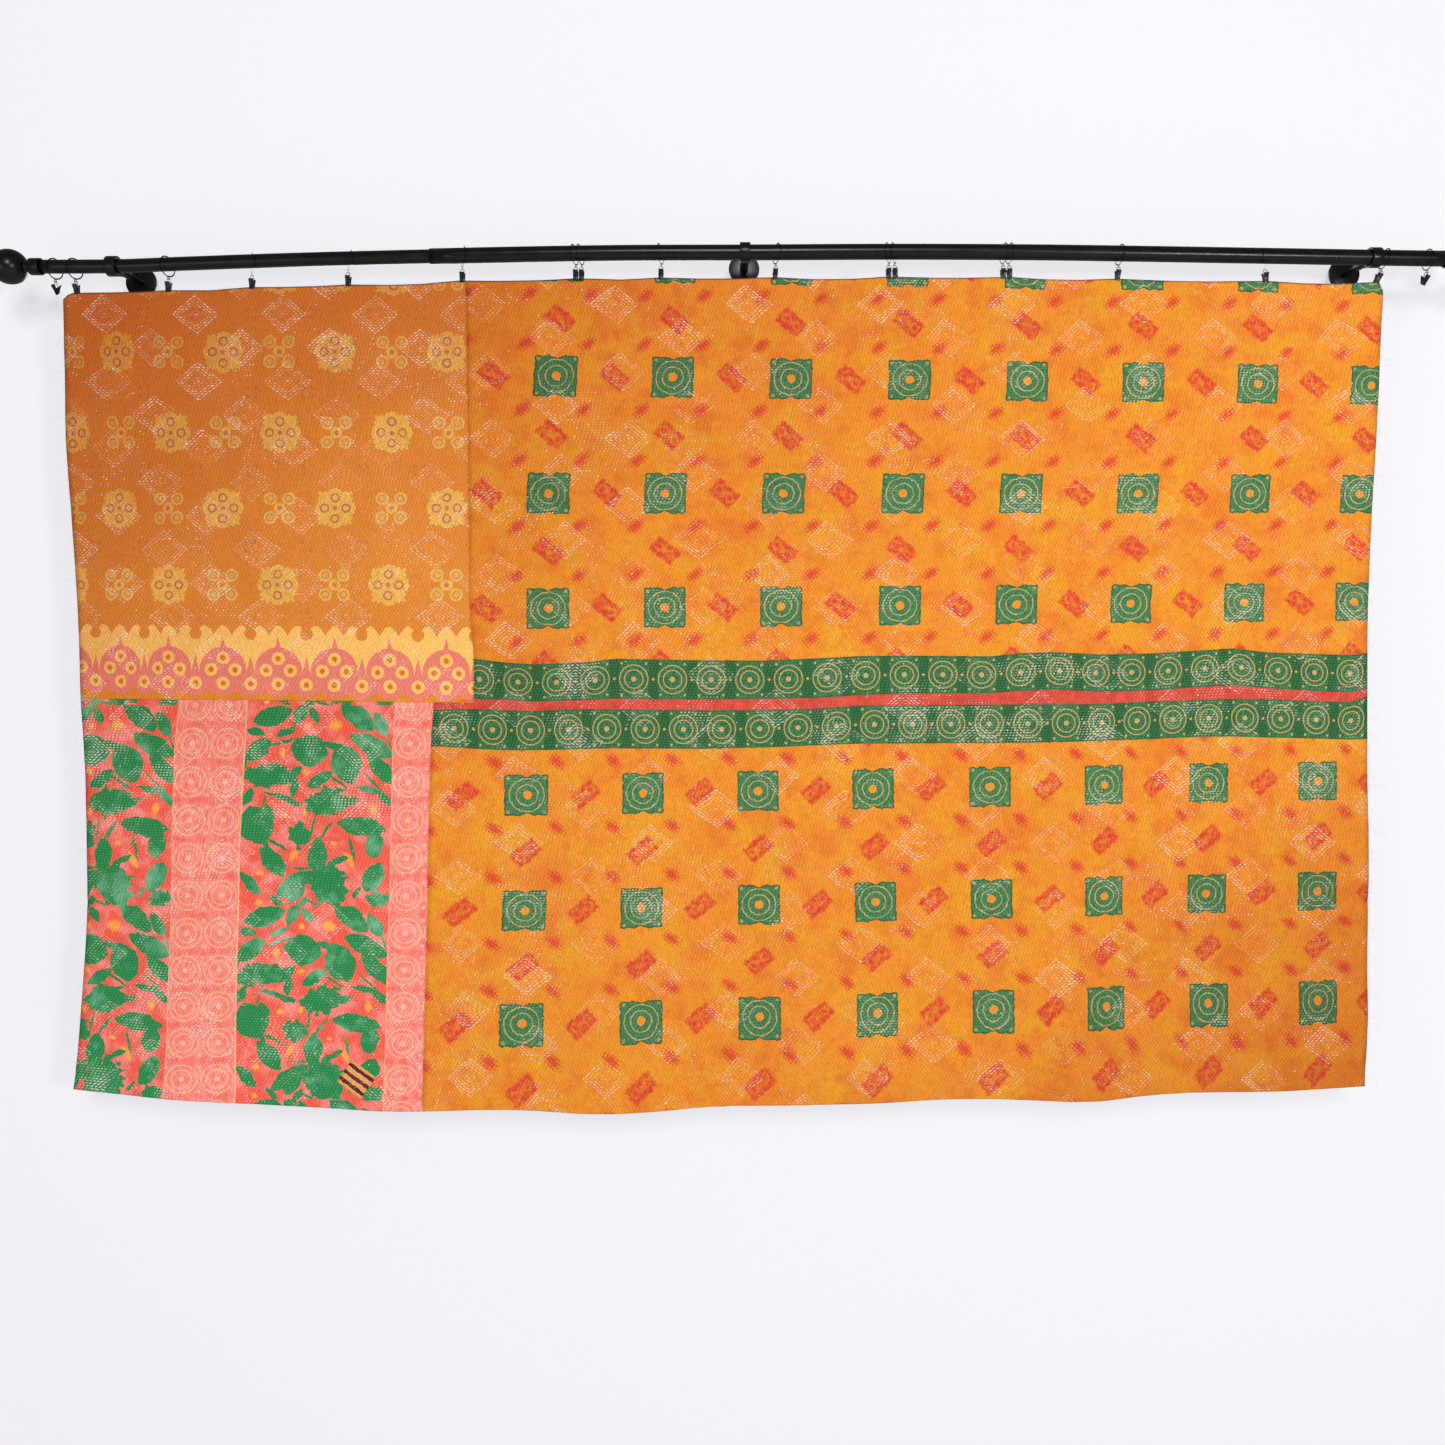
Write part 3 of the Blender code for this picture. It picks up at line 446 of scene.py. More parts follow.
def square_print():
    """Block-printed cotton: a mottled marigold ground with green square medallions,
    red lozenges and small red paws."""
    material, put, cloth, shader = start_material("printed_cotton_squares", 0.86, Specular_IOR_Level=0.2)
    place = put("UVMap", uv_map="Print")
    ragged = ragged_edge(put, cloth, 160.0, 3.0, 0.028)
    place = put("VectorMath", (place, ragged), operation="ADD")
    place = put("VectorMath", (place, (1.0, 1.0, 0.0)), operation="MULTIPLY")
    nearest = put("VectorMath", (place, (0.5, 0.5, 0.0)), operation="ADD")
    nearest = put("VectorMath", (nearest,), operation="FLOOR")
    off = put("VectorMath", (place, nearest), operation="SUBTRACT")
    off_mm = put("VectorMath", {0: off, "Scale": CELL}, operation="SCALE")

    # Ground and its blotches.
    soft = mottled(put, cloth, 25.0, 3.0, (0.47, 0.66), (0.0, 0.6), Roughness=0.6)
    fine = mottled(put, cloth, 85.0, 3.0, (0.5, 0.72), (0.0, 0.45), Roughness=0.6)
    soft = put("MAXIMUM", (soft, fine))
    haze = mottled(put, cloth, 11.0, 3.0, (0.48, 0.64), (0.0, 0.8))
    colour = inked(put, "marigold", (haze, "saffron"), (soft, "blotch"))

    # Red paws, four round each square, all leaning the same way.
    side = put("VectorMath", (off,), operation="SIGN")
    centred = put("VectorMath", (side, (*PAW_PLACE, 0.0)), operation="MULTIPLY")
    centred = put("VectorMath", (off, centred), operation="SUBTRACT")
    centred = put("VectorMath", {0: centred, "Scale": CELL}, operation="SCALE")
    paw = put("Mapping", (centred, (0, 0, 0), (0, 0, PAW_TURN), (*PAW_HALF, 1)), vector_type="TEXTURE")
    paw_off = put("VectorMath", (paw,), "Value", operation="LENGTH")
    toes = put("Mapping", (centred, (0, 0, 0), (0, 0, PAW_TURN), (PAW_DOT,) * 3), vector_type="TEXTURE")
    toes = put("VectorMath", (toes,), operation="FRACTION")
    toes = put("VectorMath", (toes, (0.5, 0.5, 0.0)), "Value", operation="DISTANCE")
    toes = put("MULTIPLY_ADD", (toes, 1.8, paw_off))
    paw_mask = put("MapRange", (toes, 1.25, 1.85, 0.85, 0.0))

    # Red lozenges between the squares, which stand on a lattice of their own.
    place_x, place_y, _ = put("SeparateXYZ", (place,), None)
    first = put("SUBTRACT", (put("ADD", (place_x, place_y)), 0.5))
    second = put("SUBTRACT", (put("SUBTRACT", (place_x, place_y)), 0.5))
    first = off_whole(put, first)
    second = off_whole(put, second)
    far_x = put("ADD", (first, second))
    far_y = put("SUBTRACT", (first, second))
    far = put("CombineXYZ", (far_x, far_y))
    far = put("VectorMath", {0: far, "Scale": CELL / 2}, operation="SCALE")
    far = put("VectorMath", (ragged, (1.2 * CELL, 1.2 * CELL, 0.0), far), operation="MULTIPLY_ADD")
    size = (*LOZENGE_HALF, 1)
    turned = put("Mapping", (far, (0, 0, 0), (0, 0, LOZENGE_TURN), size), vector_type="TEXTURE")
    turned = put("VectorMath", (turned,), operation="ABSOLUTE")
    side_x, side_y, _ = put("SeparateXYZ", (turned,), None)
    lozenge = put("SMOOTH_MAX", (side_x, side_y, 0.25))
    lozenge_mask = put("MapRange", (lozenge, 0.94, 1.14, 1.0, 0.0))
    eyes = put("VectorMath", (turned, LOZENGE_HALF + (0,)), operation="MULTIPLY")
    eyes = put("VectorMath", (eyes, (LOZENGE_EYE, 0, 0)), "Value", operation="DISTANCE")
    eyes = put("ABSOLUTE", (put("SUBTRACT", (eyes, LOZENGE_EYE_RADIUS)),))
    pupil = put("VectorMath", (turned,), "Value", operation="LENGTH")
    pupil = put("SUBTRACT", (pupil, 0.2))
    eyes = put("MINIMUM", (eyes, put("MULTIPLY", (pupil, 10 * MM))))
    eyes = put("MapRange", (eyes, 0.6 * MM, 2.2 * MM, 0.42, 0.0))
    mottle = mottled(put, cloth, 150.0, 3.0, (0.42, 0.62), (1.0, 0.5), Roughness=0.7)
    lozenge_mask = put("MULTIPLY", (lozenge_mask, mottle))
    lozenge_mask = put("SUBTRACT", (lozenge_mask, eyes), use_clamp=True)
    red = put("MAXIMUM", (paw_mask, lozenge_mask))
    colour = inked(put, colour, (red, "vermilion"))

    # Green squares: straight sides, a notch between humps in top and foot.
    beside = put("VectorMath", (off_mm,), operation="ABSOLUTE")
    beside_x, beside_y, _ = put("SeparateXYZ", (beside,), None)
    humps = put("ValToRGB", (put("DIVIDE", (beside_x, SQUARE_HALF)),), stops=SQUARE_HUMPS)
    reach = put("MULTIPLY_ADD", (humps, SQUARE_REACH[1], SQUARE_REACH[0]))
    over_top = put("SUBTRACT", (beside_y, reach))
    over_side = put("SUBTRACT", (beside_x, SQUARE_HALF))
    outside = put("MAXIMUM", (over_top, over_side))
    in_square = put("LESS_THAN", (outside, 0.0))
    dark = mottled(put, cloth, 260.0, 2.0, (0.35, 0.65), (0.25, 0.85))
    rim = put("MapRange", (outside, -2.8 * MM, -0.8 * MM, 0.0, 0.8))
    dark = put("SUBTRACT", (dark, rim), use_clamp=True)
    green = inked(put, "leaf_green", (dark, "sea_green"))
    from_centre = put("VectorMath", (off_mm,), "Value", operation="LENGTH")
    ring_place = put("MULTIPLY", (from_centre, 1 / SQUARE_HALF))
    stops = ring_stops(SQUARE_RINGS, SQUARE_HALF / MM, SQUARE_LINE_HALF, SQUARE_HEART)
    rings = put("ValToRGB", (ring_place,), stops=stops)
    in_corner = put("VectorMath", (beside, CORNER_DOT), "Value", operation="DISTANCE")
    corner_dot = put("MapRange", (in_corner, 1.8 * MM, 3.4 * MM, 0.7, 0.0))
    fine = put("MAXIMUM", (rings, corner_dot))
    faint = mottled(put, cloth, 60.0, 2.0, (0.35, 0.55), (0.45, 0.8))
    heart = put("LESS_THAN", (from_centre, HEART_RADIUS))
    fine = put("MULTIPLY", (fine, put("MAXIMUM", (faint, heart))))
    line_colour = inked(put, "peach", (heart, "marigold"))
    figure = inked(put, green, (fine, line_colour))
    colour = inked(put, colour, (in_square, figure))
    white = put("Mix", {0: in_square, 2: 1.0, 3: 1.7}, data_type="FLOAT")
    finish_cotton(put, cloth, shader, colour, WIDE_DIAMONDS, white)
    return material


def ring_stops(radii, reach, half, heart):
    """Ramp stops that draw rings: radii, half a line's width and the heart's radius, in mm of the reach."""
    stops = [(0.0, 1.0), (heart / reach, 1.0), (heart / reach + 0.01, 0.0)]
    for radius in radii:
        low, high = (radius - half) / reach, (radius + half) / reach
        stops += [(low - 0.012, 0.0), (low, 1.0), (high, 1.0), (high + 0.012, 0.0)]
    return stops


# Ringed bands: two rings and a heart in each cell, dots between them, in mm. Columns
# of the dots: place in a quarter of the cell, radius.
BAND_CELL = 62.0
BAND_RINGS = (14.8, 22.6)
BAND_REACH = 32.0
BAND_LINE_HALF = 0.65
BAND_HEART = 4.0
BAND_DOTS = (((31.0, 0.0, 0.0), 2.3), ((19.5, 25.0, 0.0), 2.0))


def ring_group():
    """Draws a ringed band's fine lines, from a cell's own millimetres."""
    gives = (("Lines", "Float"), ("Edge", "Float"))
    tree, put, given, result = start_group("ringed_cell", (("Place", "Vector"),), gives)
    from_centre = put("VectorMath", (given["Place"],), "Value", operation="LENGTH")
    share = put("MULTIPLY", (from_centre, 1 / BAND_REACH))
    rings = put("ValToRGB", (share,), stops=ring_stops(BAND_RINGS, BAND_REACH, BAND_LINE_HALF, BAND_HEART))
    beside = put("VectorMath", (given["Place"],), operation="ABSOLUTE")
    dots = rings
    for place, radius in BAND_DOTS:
        off = put("VectorMath", (beside, place), "Value", operation="DISTANCE")
        dot = put("LESS_THAN", (off, radius))
        dots = put("MAXIMUM", (dots, dot))
    side, _, _ = put("SeparateXYZ", (beside,), None)
    edge = put("MapRange", (side, 20.0, 31.0, 0.0, 1.0))
    link(dots, result["Lines"])
    link(edge, result["Edge"])
    return tree


def band_print():
    """Block-printed cotton: a green band of ringed cells, darker between the cells."""
    material, put, cloth, shader = start_material("printed_cotton_band", 0.86, Specular_IOR_Level=0.2)
    place = put("UVMap", uv_map="Print")
    across, down, _ = put("SeparateXYZ", (place,), None)
    off = off_whole(put, across)
    cell = put("VectorMath", {0: put("CombineXYZ", (off, down)), "Scale": BAND_CELL}, operation="SCALE")
    group = bpy.data.node_groups.get("ringed_cell") or ring_group()
    lines, edge = put("Group", (cell,), None, node_tree=group)
    mottle = mottled(put, cloth, 230.0, 2.0, (0.35, 0.65), (0.0, 0.6))
    mottle = put("SUBTRACT", (mottle, edge), use_clamp=True)
    colour = inked(put, "leaf_green", (mottle, "sea_green"))
    lines = put("MULTIPLY", (lines, 0.7))
    colour = inked(put, colour, (lines, "peach"))
    finish_cotton(put, cloth, shader, colour, WIDE_DIAMONDS, 1.9)
    return material


def stripe_print():
    """Plain red-dyed cotton between the two green bands."""
    material, put, cloth, shader = start_material("red_cotton", 0.86, Specular_IOR_Level=0.2)
    mottle = mottled(put, cloth, 60.0, 3.0, (0.35, 0.65), (0.0, 0.5))
    colour = inked(put, "stripe_red", (mottle, "coral"))
    finish_cotton(put, cloth, shader, colour, WIDE_DIAMONDS, 1.4)
    return material


# The upper left print, in mm. Medallions and clovers take turns. A column is 90 mm
# and a row 125 mm, and the border's lowest dots are centred on row 4.3.
TURN_COLUMN = 90.0
TURN_ROW = 124.7
BORDER_ROW = 4.3
FIGURES_END = 3.45
MEDALLION_RADIUS = 30.8
# How far the outline of a medallion swings by its eight lobes and its many leaf points.
MEDALLION_LOBES = 2.2
MEDALLION_POINTS = 2.4
MEDALLION_RING = (17.2, 0, 0)
MEDALLION_RING_RADIUS = 6.1
CLOVER_LEAF = (14.8, 15.5, 0)
CLOVER_LEAF_RADIUS = 10.6
CLOVER_RING_RADIUS = 5.4
CLOVER_HEART_RADIUS = 9.5
STAR_ARM = (7.0, 7.0, 0)
# The border. Heights are in mm below its lowest row of dots.
CREST_HEIGHT = -80.0
CREST_WAVE = -15.5
CREST_BITE = (0, -82.0, 0)
CREST_BITE_RADIUS = 10.0
DOME = (0, -22.0, 0)
DOME_RADIUS = 38.0
SPIKE_TOP = 78.0
SPIKE_SLOPE = 0.26
SPIKE_FOOT = -52.0
SMALL_SPIKE_TOP = 46.0
SMALL_SPIKE_SLOPE = 0.24
DOMES_FOOT = -18.0
# Columns: place of a dot, and whether it stands between the domes.
BORDER_DOTS = (
    ((0.0, -42.0, 0), False),
    ((19.5, -22.5, 0), False),
    ((0.0, 0.0, 0), False),
    ((0.0, 0.0, 0), True),
)
BORDER_DOT_RADIUS = 10.6
BORDER_FOOT = 11.0
BORDER_SCALLOP = 10.0


def medallion_print():
    """Block-printed cotton: rust ground with ochre medallions and clovers, and a
    crested border of pink domes with yellow dots."""
    material, put, cloth, shader = start_material("printed_cotton_medallions", 0.88, Specular_IOR_Level=0.2)
    place = put("UVMap", uv_map="Print")
    ragged = ragged_edge(put, cloth, 150.0, 2.0, 0.03)
    place = put("VectorMath", (place, ragged), operation="ADD")
    across, down, _ = put("SeparateXYZ", (place,), None)
    column = put("ROUND", (across,))
    row = put("ROUND", (down,))
    off_x = put("MULTIPLY", (put("SUBTRACT", (across, column)), TURN_COLUMN))
    off_y = put("MULTIPLY", (put("SUBTRACT", (down, row)), TURN_ROW))
    turns = put("MULTIPLY", (put("ADD", (column, row)), 0.5))
    odd = put("GREATER_THAN", (put("FRACT", (turns,)), 0.25))
    off = put("CombineXYZ", (off_x, off_y))
    beside = put("VectorMath", (off,), operation="ABSOLUTE")
    beside_x, beside_y, _ = put("SeparateXYZ", (beside,), None)
    from_centre = put("VectorMath", (off,), "Value", operation="LENGTH")

    # Medallion: a flat-lobed outline with leaf points between, four rings and a heart.
    angle = put("ARCTAN2", (off_y, off_x))
    two = put("ABSOLUTE", (put("SINE", (put("MULTIPLY", (angle, 2.0)),)),))
    many = put("COSINE", (put("MULTIPLY", (angle, 24.0)),))
    many = put("MULTIPLY_ADD", (many, MEDALLION_POINTS, MEDALLION_POINTS))
    eight = put("COSINE", (put("MULTIPLY", (angle, 8.0)),))
    eight = put("MULTIPLY_ADD", (eight, MEDALLION_LOBES, MEDALLION_RADIUS))
    outline = put("MULTIPLY_ADD", (two, many, eight))
    in_medallion = put("LESS_THAN", (from_centre, outline))
    longer = put("MAXIMUM", (beside_x, beside_y))
    shorter = put("MINIMUM", (beside_x, beside_y))
    folded = put("CombineXYZ", (longer, shorter))
    ring_off = put("VectorMath", (folded, MEDALLION_RING), "Value", operation="DISTANCE")
    rings = put("ABSOLUTE", (put("SUBTRACT", (ring_off, MEDALLION_RING_RADIUS)),))
    rings = put("MapRange", (rings, 1.0, 2.0, 1.0, 0.0))
    heart = put("MapRange", (from_centre, 3.0, 4.6, 0.9, 0.0))
    rings = put("MAXIMUM", (rings, heart))

    # Clover: four round leaves with a ring in each, joined at a round heart.
    leaf_off = put("VectorMath", (beside, CLOVER_LEAF), "Value", operation="DISTANCE")
    leaf = put("LESS_THAN", (leaf_off, CLOVER_LEAF_RADIUS))
    arm = put("LESS_THAN", (from_centre, CLOVER_HEART_RADIUS))
    clover = put("MAXIMUM", (leaf, arm))
    thin = put("ABSOLUTE", (put("SUBTRACT", (leaf_off, CLOVER_RING_RADIUS)),))
    thin = put("MapRange", (thin, 0.7, 1.7, 0.7, 0.0))
    filled = put("MULTIPLY", (put("LESS_THAN", (leaf_off, 5.0)), 0.12))
    thin = put("MAXIMUM", (put("MAXIMUM", (thin, heart)), filled))

    # Faint small crosses between the rows.
    star_x = put("MULTIPLY", (put("SUBTRACT", (put("FRACT", (across,)), 0.5)), TURN_COLUMN))
    star_y = put("MULTIPLY", (put("SUBTRACT", (put("FRACT", (down,)), 0.5)), TURN_ROW))
    star = put("VectorMath", (put("CombineXYZ", (star_x, star_y)),), operation="ABSOLUTE")
    star = put("VectorMath", (star, STAR_ARM), "Value", operation="DISTANCE")
    star = put("MapRange", (star, 1.5, 4.6, 0.5, 0.0))

    figure = put("Mix", {0: odd, 2: in_medallion, 3: clover}, data_type="FLOAT")
    marks = put("Mix", {0: odd, 2: rings, 3: thin}, data_type="FLOAT")
    marks = put("MAXIMUM", (marks, star))
    above = put("LESS_THAN", (down, FIGURES_END))
    figure = put("MULTIPLY", (figure, above))
    marks = put("MULTIPLY", (marks, above))
    patchy = mottled(put, cloth, 120.0, 3.0, (0.35, 0.6), (0.68, 0.98))
    figure = put("MULTIPLY", (figure, patchy))
    colour = inked(put, "rust", (figure, "ochre"))
    marks = put("MULTIPLY", (marks, patchy))
    colour = inked(put, colour, (marks, "mauve"))

    # Border.
    depth = put("MULTIPLY", (put("SUBTRACT", (down, BORDER_ROW)), TURN_ROW))
    wave = put("MULTIPLY", (across, 3 * math.pi))
    wave = put("ABSOLUTE", (put("COSINE", (wave,)),))
    crest_line = put("MULTIPLY_ADD", (wave, CREST_WAVE, CREST_HEIGHT))
    crest = put("GREATER_THAN", (depth, crest_line))
    from_axis = put("ABSOLUTE", (off_x,))
    to_next = put("SUBTRACT", (TURN_COLUMN / 2, from_axis))
    from_here = put("CombineXYZ", (from_axis, depth))
    from_next = put("CombineXYZ", (to_next, depth))
    bite_off = put("VectorMath", (from_next, CREST_BITE), "Value", operation="DISTANCE")
    bite = put("GREATER_THAN", (bite_off, CREST_BITE_RADIUS))
    crest = put("MULTIPLY", (crest, bite))
    colour = inked(put, colour, (crest, "border_yellow"))
    dome_off = put("VectorMath", (from_here, DOME), "Value", operation="DISTANCE")
    dome = put("LESS_THAN", (dome_off, DOME_RADIUS))
    spike_half = put("MULTIPLY_ADD", (depth, SPIKE_SLOPE, SPIKE_TOP * SPIKE_SLOPE))
    spike = put("LESS_THAN", (from_axis, spike_half))
    spike = put("MULTIPLY", (spike, put("LESS_THAN", (depth, SPIKE_FOOT))))
    small_half = put("MULTIPLY_ADD", (depth, SMALL_SPIKE_SLOPE, SMALL_SPIKE_TOP * SMALL_SPIKE_SLOPE))
    small = put("LESS_THAN", (to_next, small_half))
    low = put("GREATER_THAN", (depth, DOMES_FOOT))
    pink = put("MAXIMUM", (put("MAXIMUM", (dome, spike)), small))
    pink = put("MAXIMUM", (pink, low))
    colour = inked(put, colour, (pink, "border_pink"))
    dots = None
    for place, between in BORDER_DOTS:
        near = from_next if between else from_here
        dot_off = put("VectorMath", (near, place), "Value", operation="DISTANCE")
        dots = dot_off if dots is None else put("MINIMUM", (dots, dot_off))
    dot = put("LESS_THAN", (dots, BORDER_DOT_RADIUS))
    colour = inked(put, colour, (dot, "border_yellow"))
    seed = put("MapRange", (dots, 3.4, 5.6, 0.9, 0.0))
    colour = inked(put, colour, (seed, "blotch"))
    scallop = put("MULTIPLY", (across, math.tau))
    scallop = put("ABSOLUTE", (put("COSINE", (scallop,)),))
    foot_line = put("MULTIPLY_ADD", (scallop, BORDER_SCALLOP, BORDER_FOOT))
    foot = put("GREATER_THAN", (depth, foot_line))
    colour = inked(put, colour, (foot, "marigold"))
    finish_cotton(put, cloth, shader, colour, CLOSE_DIAMONDS, 0.85)
    return material


# The lower left print, charted in mm from the top of its repeat and from
# the right side of its double ringed band.
LEAF_PERIOD = (350.0, 328.0)
DOUBLE_BAND = 110.0
# Columns: place across, place down, half length, half width, turn in degrees.
LEAVES = (
    (42, 18, 33, 15.5, 18),
    (87.5, 13, 21, 9, 65),
    (80, 21, 23, 2, 88),
    (110, 16, 15.5, 7.5, -55),
    (180, 18, 37, 15.5, -40),
    (219, 31, 23, 10, -60),
    (233, 57, 18, 2, -66),
    (15.5, 43, 16, 6.5, -12),
    (65, 44, 16, 6, 22),
    (21, 73, 27.5, 14, 38),
    (2, 91, 13, 3, 88),
    (105, 73, 31, 24, -15),
    (107, 75, 26, 23, 75),
    (143, 66, 19.5, 5.5, -18),
    (206, 65, 39, 14.5, -26),
    (224, 104, 34, 13, -47),
    (165, 94, 34, 24, -68),
    (75, 115, 23, 9, 38),
    (82, 134, 17, 6.5, 82),
    (62, 149, 32, 4, -18),
    (81, 157, 15, 5, -18),
    (8, 149, 16, 8, 60),
    (44, 175, 16, 7, -62),
    (34, 156, 11, 2, 80),
    (24, 194, 32, 27.5, -70),
    (123, 120, 24, 10, 35),
    (156, 139, 10.5, 3, 15),
    (204, 137, 22, 5.5, -12),
    (212, 126, 26, 2, -43),
    (230, 151, 16, 6.5, -42),
    (173, 157, 16, 6, 22),
    (115, 196, 21, 2, 80),
    (136, 203, 20, 2.5, 55),
    (193, 196, 40, 15, -8),
    (215, 225, 23, 15, 80),
    (123, 245, 31, 15, 88),
    (146, 259, 11, 6, 50),
    (87, 292, 36, 15, 36),
    (168, 280, 11, 2, 2),
    (53, 254, 31, 15, -52),
    (97, 265, 18, 2.5, 0),
    (17, 290, 25, 9, -50),
    (91, 308, 19, 8, 42),
    (100, 326, 16, 6.5, 65),
    (214, 279, 27.5, 16, 62),
    (188, 306, 11, 4, 60),
    (150, 122, 28, 2.5, -35),
    (60, 226, 26, 2.5, -30),
    (62, 60, 28, 2.5, 12),
    (178, 232, 22, 2.5, -75),
    (120, 325, 22, 2.5, -24),
    (60, 322, 18, 5, -52),
    (160, 250, 14, 5, 20),
    (40, 222, 16, 4, -70),
)
# The same columns, for the large leaves with torn edges.
TORN_LEAVES = (
    (36, 113, 39, 19, 5),
    (136, 157, 36, 23, 5),
    (94, 212, 21, 18, -60),
    (222, 317, 19, 14.5, 0),
    (143, 296, 37, 29, -50),
    (139, 285, 32, 23, 10),
)
# The same columns, for the yellow hearts of flowers.
FLOWER_HEARTS = (
    (100, 34, 6, 7, 0),
    (145, 33, 13, 11, 0),
    (186, 15, 5, 5, 0),
    (62, 78, 6, 10, 0),
    (101, 109, 7, 6, 0),
    (212, 167, 7, 10, 0),
    (69, 179, 7, 5, 0),
    (101, 175, 5, 7, 0),
    (150, 224, 7, 4, 0),
    (86, 244, 13, 6, 60),
    (175, 251, 18, 6.5, -58),
    (32, 274, 8, 6, 0),
    (31, 323, 6, 5, 0),
)
# Leaf shapes are worked out in tens, so that the shader keeps few values at once.
LEAF_BATCH = 10
LEAF_EDGE = 2.03
# How much of its cell a ringed cell of the double band fills, and half a rule's width in mm.
DOUBLE_BAND_FILL = 0.93
RULE_HALF = 1.0


def leaf_print():
    """Block-printed cotton: leafy columns on coral, and rose columns of ringed cells."""
    material, put, cloth, shader = start_material("printed_cotton_leaves", 0.86, Specular_IOR_Level=0.2)
    place = put("UVMap", uv_map="Print")
    across, down, _ = put("SeparateXYZ", (place,), None)
    column = put("WRAP", (across, LEAF_PERIOD[0], 0.0))
    leaf_x = put("SUBTRACT", (column, DOUBLE_BAND))
    row = put("WRAP", (down, LEAF_PERIOD[1], 0.0))
    chart = put("CombineXYZ", (leaf_x, row))

    def torn(scale, reach):
        """The chart, its places torn apart by a noise."""
        return put("VectorMath", (chart, ragged_edge(put, cloth, scale, 2.0, reach)), operation="ADD")

    def nearest(charted, table, before=0.0):
        """How far a point is from the nearest of the table's leaf shapes, 2 at its edge."""
        least = None
        chart_x, chart_y, _ = put("SeparateXYZ", (charted,), None)
        for number, (x, y, half, wide, turn) in enumerate(table):
            if number % LEAF_BATCH == 0:
                # The last batch's result rides along as a height that counts for nothing.
                charted = put("CombineXYZ", (chart_x, chart_y, before if least is None else least))
            scale = (half / math.sqrt(3), wide, 1e6)
            local = put(
                "Mapping",
                {0: charted, "Location": (x, y, 0), "Rotation": (0, 0, math.radians(-turn)), "Scale": scale},
                vector_type="TEXTURE",
            )
            local = put("VectorMath", (local,), operation="ABSOLUTE")
            off = put("VectorMath", (local, (0, -1, 0)), "Value", operation="DISTANCE")
            least = off if least is None else put("MINIMUM", (least, off))
        return least

    smooth = nearest(torn(75.0, 10.0), LEAVES)
    ragged = nearest(torn(105.0, 32.0), TORN_LEAVES, smooth)
    leaf = put("LESS_THAN", (put("MINIMUM", (smooth, ragged)), LEAF_EDGE))
    pale = mottled(put, cloth, 34.0, 3.0, (0.46, 0.66), (0.0, 0.75))
    ground = inked(put, "coral", (pale, "rose"))
    flower = put("MapRange", (nearest(torn(60.0, 8.0), FLOWER_HEARTS, ragged), 1.4, 2.1, 1.0, 0.0))
    ground = inked(put, ground, (flower, "flower_yellow"))
    rubbed = mottled(put, cloth, 13.0, 4.0, (0.52, 0.7), (0.0, 0.75), Roughness=0.65)
    green = inked(put, "meadow", (rubbed, "worn_green"))
    colour = inked(put, ground, (leaf, green))

    # The double band: two columns of ringed cells, 55 mm each.
    half_band = DOUBLE_BAND / 2
    cell_x = put("FRACT", (put("MULTIPLY", (column, 1 / half_band)),))
    cell_x = put("SUBTRACT", (cell_x, 0.5))
    ring_row = put("MULTIPLY_ADD", (down, 1 / BAND_CELL, 0.5))
    cell_y = put("SUBTRACT", (put("FRACT", (ring_row,)), 0.5))
    cell = put("CombineXYZ", (cell_y, cell_x))
    cell = put("VectorMath", (cell, (BAND_CELL, half_band, 0)), operation="MULTIPLY")
    cell = put("VectorMath", {0: cell, "Scale": DOUBLE_BAND_FILL}, operation="SCALE")
    group = bpy.data.node_groups.get("ringed_cell") or ring_group()
    lines, edge = put("Group", (cell,), None, node_tree=group)
    cloudy = mottled(put, cloth, 90.0, 3.0, (0.4, 0.65), (0.0, 0.55))
    deep = put("MULTIPLY_ADD", (edge, 0.4, cloudy))
    band = inked(put, "rose", (deep, "coral"), (lines, "ring_line"))
    in_band = put("LESS_THAN", (column, DOUBLE_BAND))
    colour = inked(put, colour, (in_band, band))
    rule = put("ABSOLUTE", (put("SUBTRACT", (column, half_band)),))
    rule = put("ABSOLUTE", (put("SUBTRACT", (rule, half_band)),))
    rule = put("LESS_THAN", (rule, RULE_HALF))
    colour = inked(put, colour, (rule, "ring_line"))
    in_leaf = put("GREATER_THAN", (leaf, in_band))
    white = put("Mix", {0: in_leaf, 2: 1.9, 3: 2.2}, data_type="FLOAT")
    finish_cotton(put, cloth, shader, colour, CLOSE_DIAMONDS, white)
    return material


def backing_cotton():
    """Plain indigo cotton of the back, with the same rows of stitches."""
    material, put, cloth, shader = start_material("indigo_cotton", 0.9, Specular_IOR_Level=0.2)
    cast = put("TexNoise", {"Vector": cloth, "Scale": 2.6, "Detail": 4.0, "Roughness": 0.6})
    purple = put("MapRange", (cast, 0.5, 0.66, 0.0, 0.7))
    green = put("MapRange", (cast, 0.46, 0.32, 0.0, 0.7))
    colour = inked(put, "indigo", (purple, "plum"), (green, "teal"))
    finish_cotton(put, cloth, shader, colour, WIDE_DIAMONDS, 0.5)
    return material


def mend_cotton():
    """Striped cotton of the small mend: worn brown and straw stripes."""
    material, put, cloth, shader = start_material("striped_cotton", 0.88, Specular_IOR_Level=0.2)
    place = put("UVMap", uv_map="Print")
    _, down, _ = put("SeparateXYZ", (place,), None)
    ragged = put("TexNoise", {"Vector": cloth, "Scale": 130.0, "Detail": 2.0})
    down = put("MULTIPLY_ADD", (ragged, 0.35, down))
    stripe = put("LESS_THAN", (put("FRACT", (down,)), 0.45))
    colour = inked(put, "straw_stripe", (stripe, "brown_stripe"))
    finish_cotton(put, cloth, shader, colour, WIDE_DIAMONDS, 0.3)
    return material


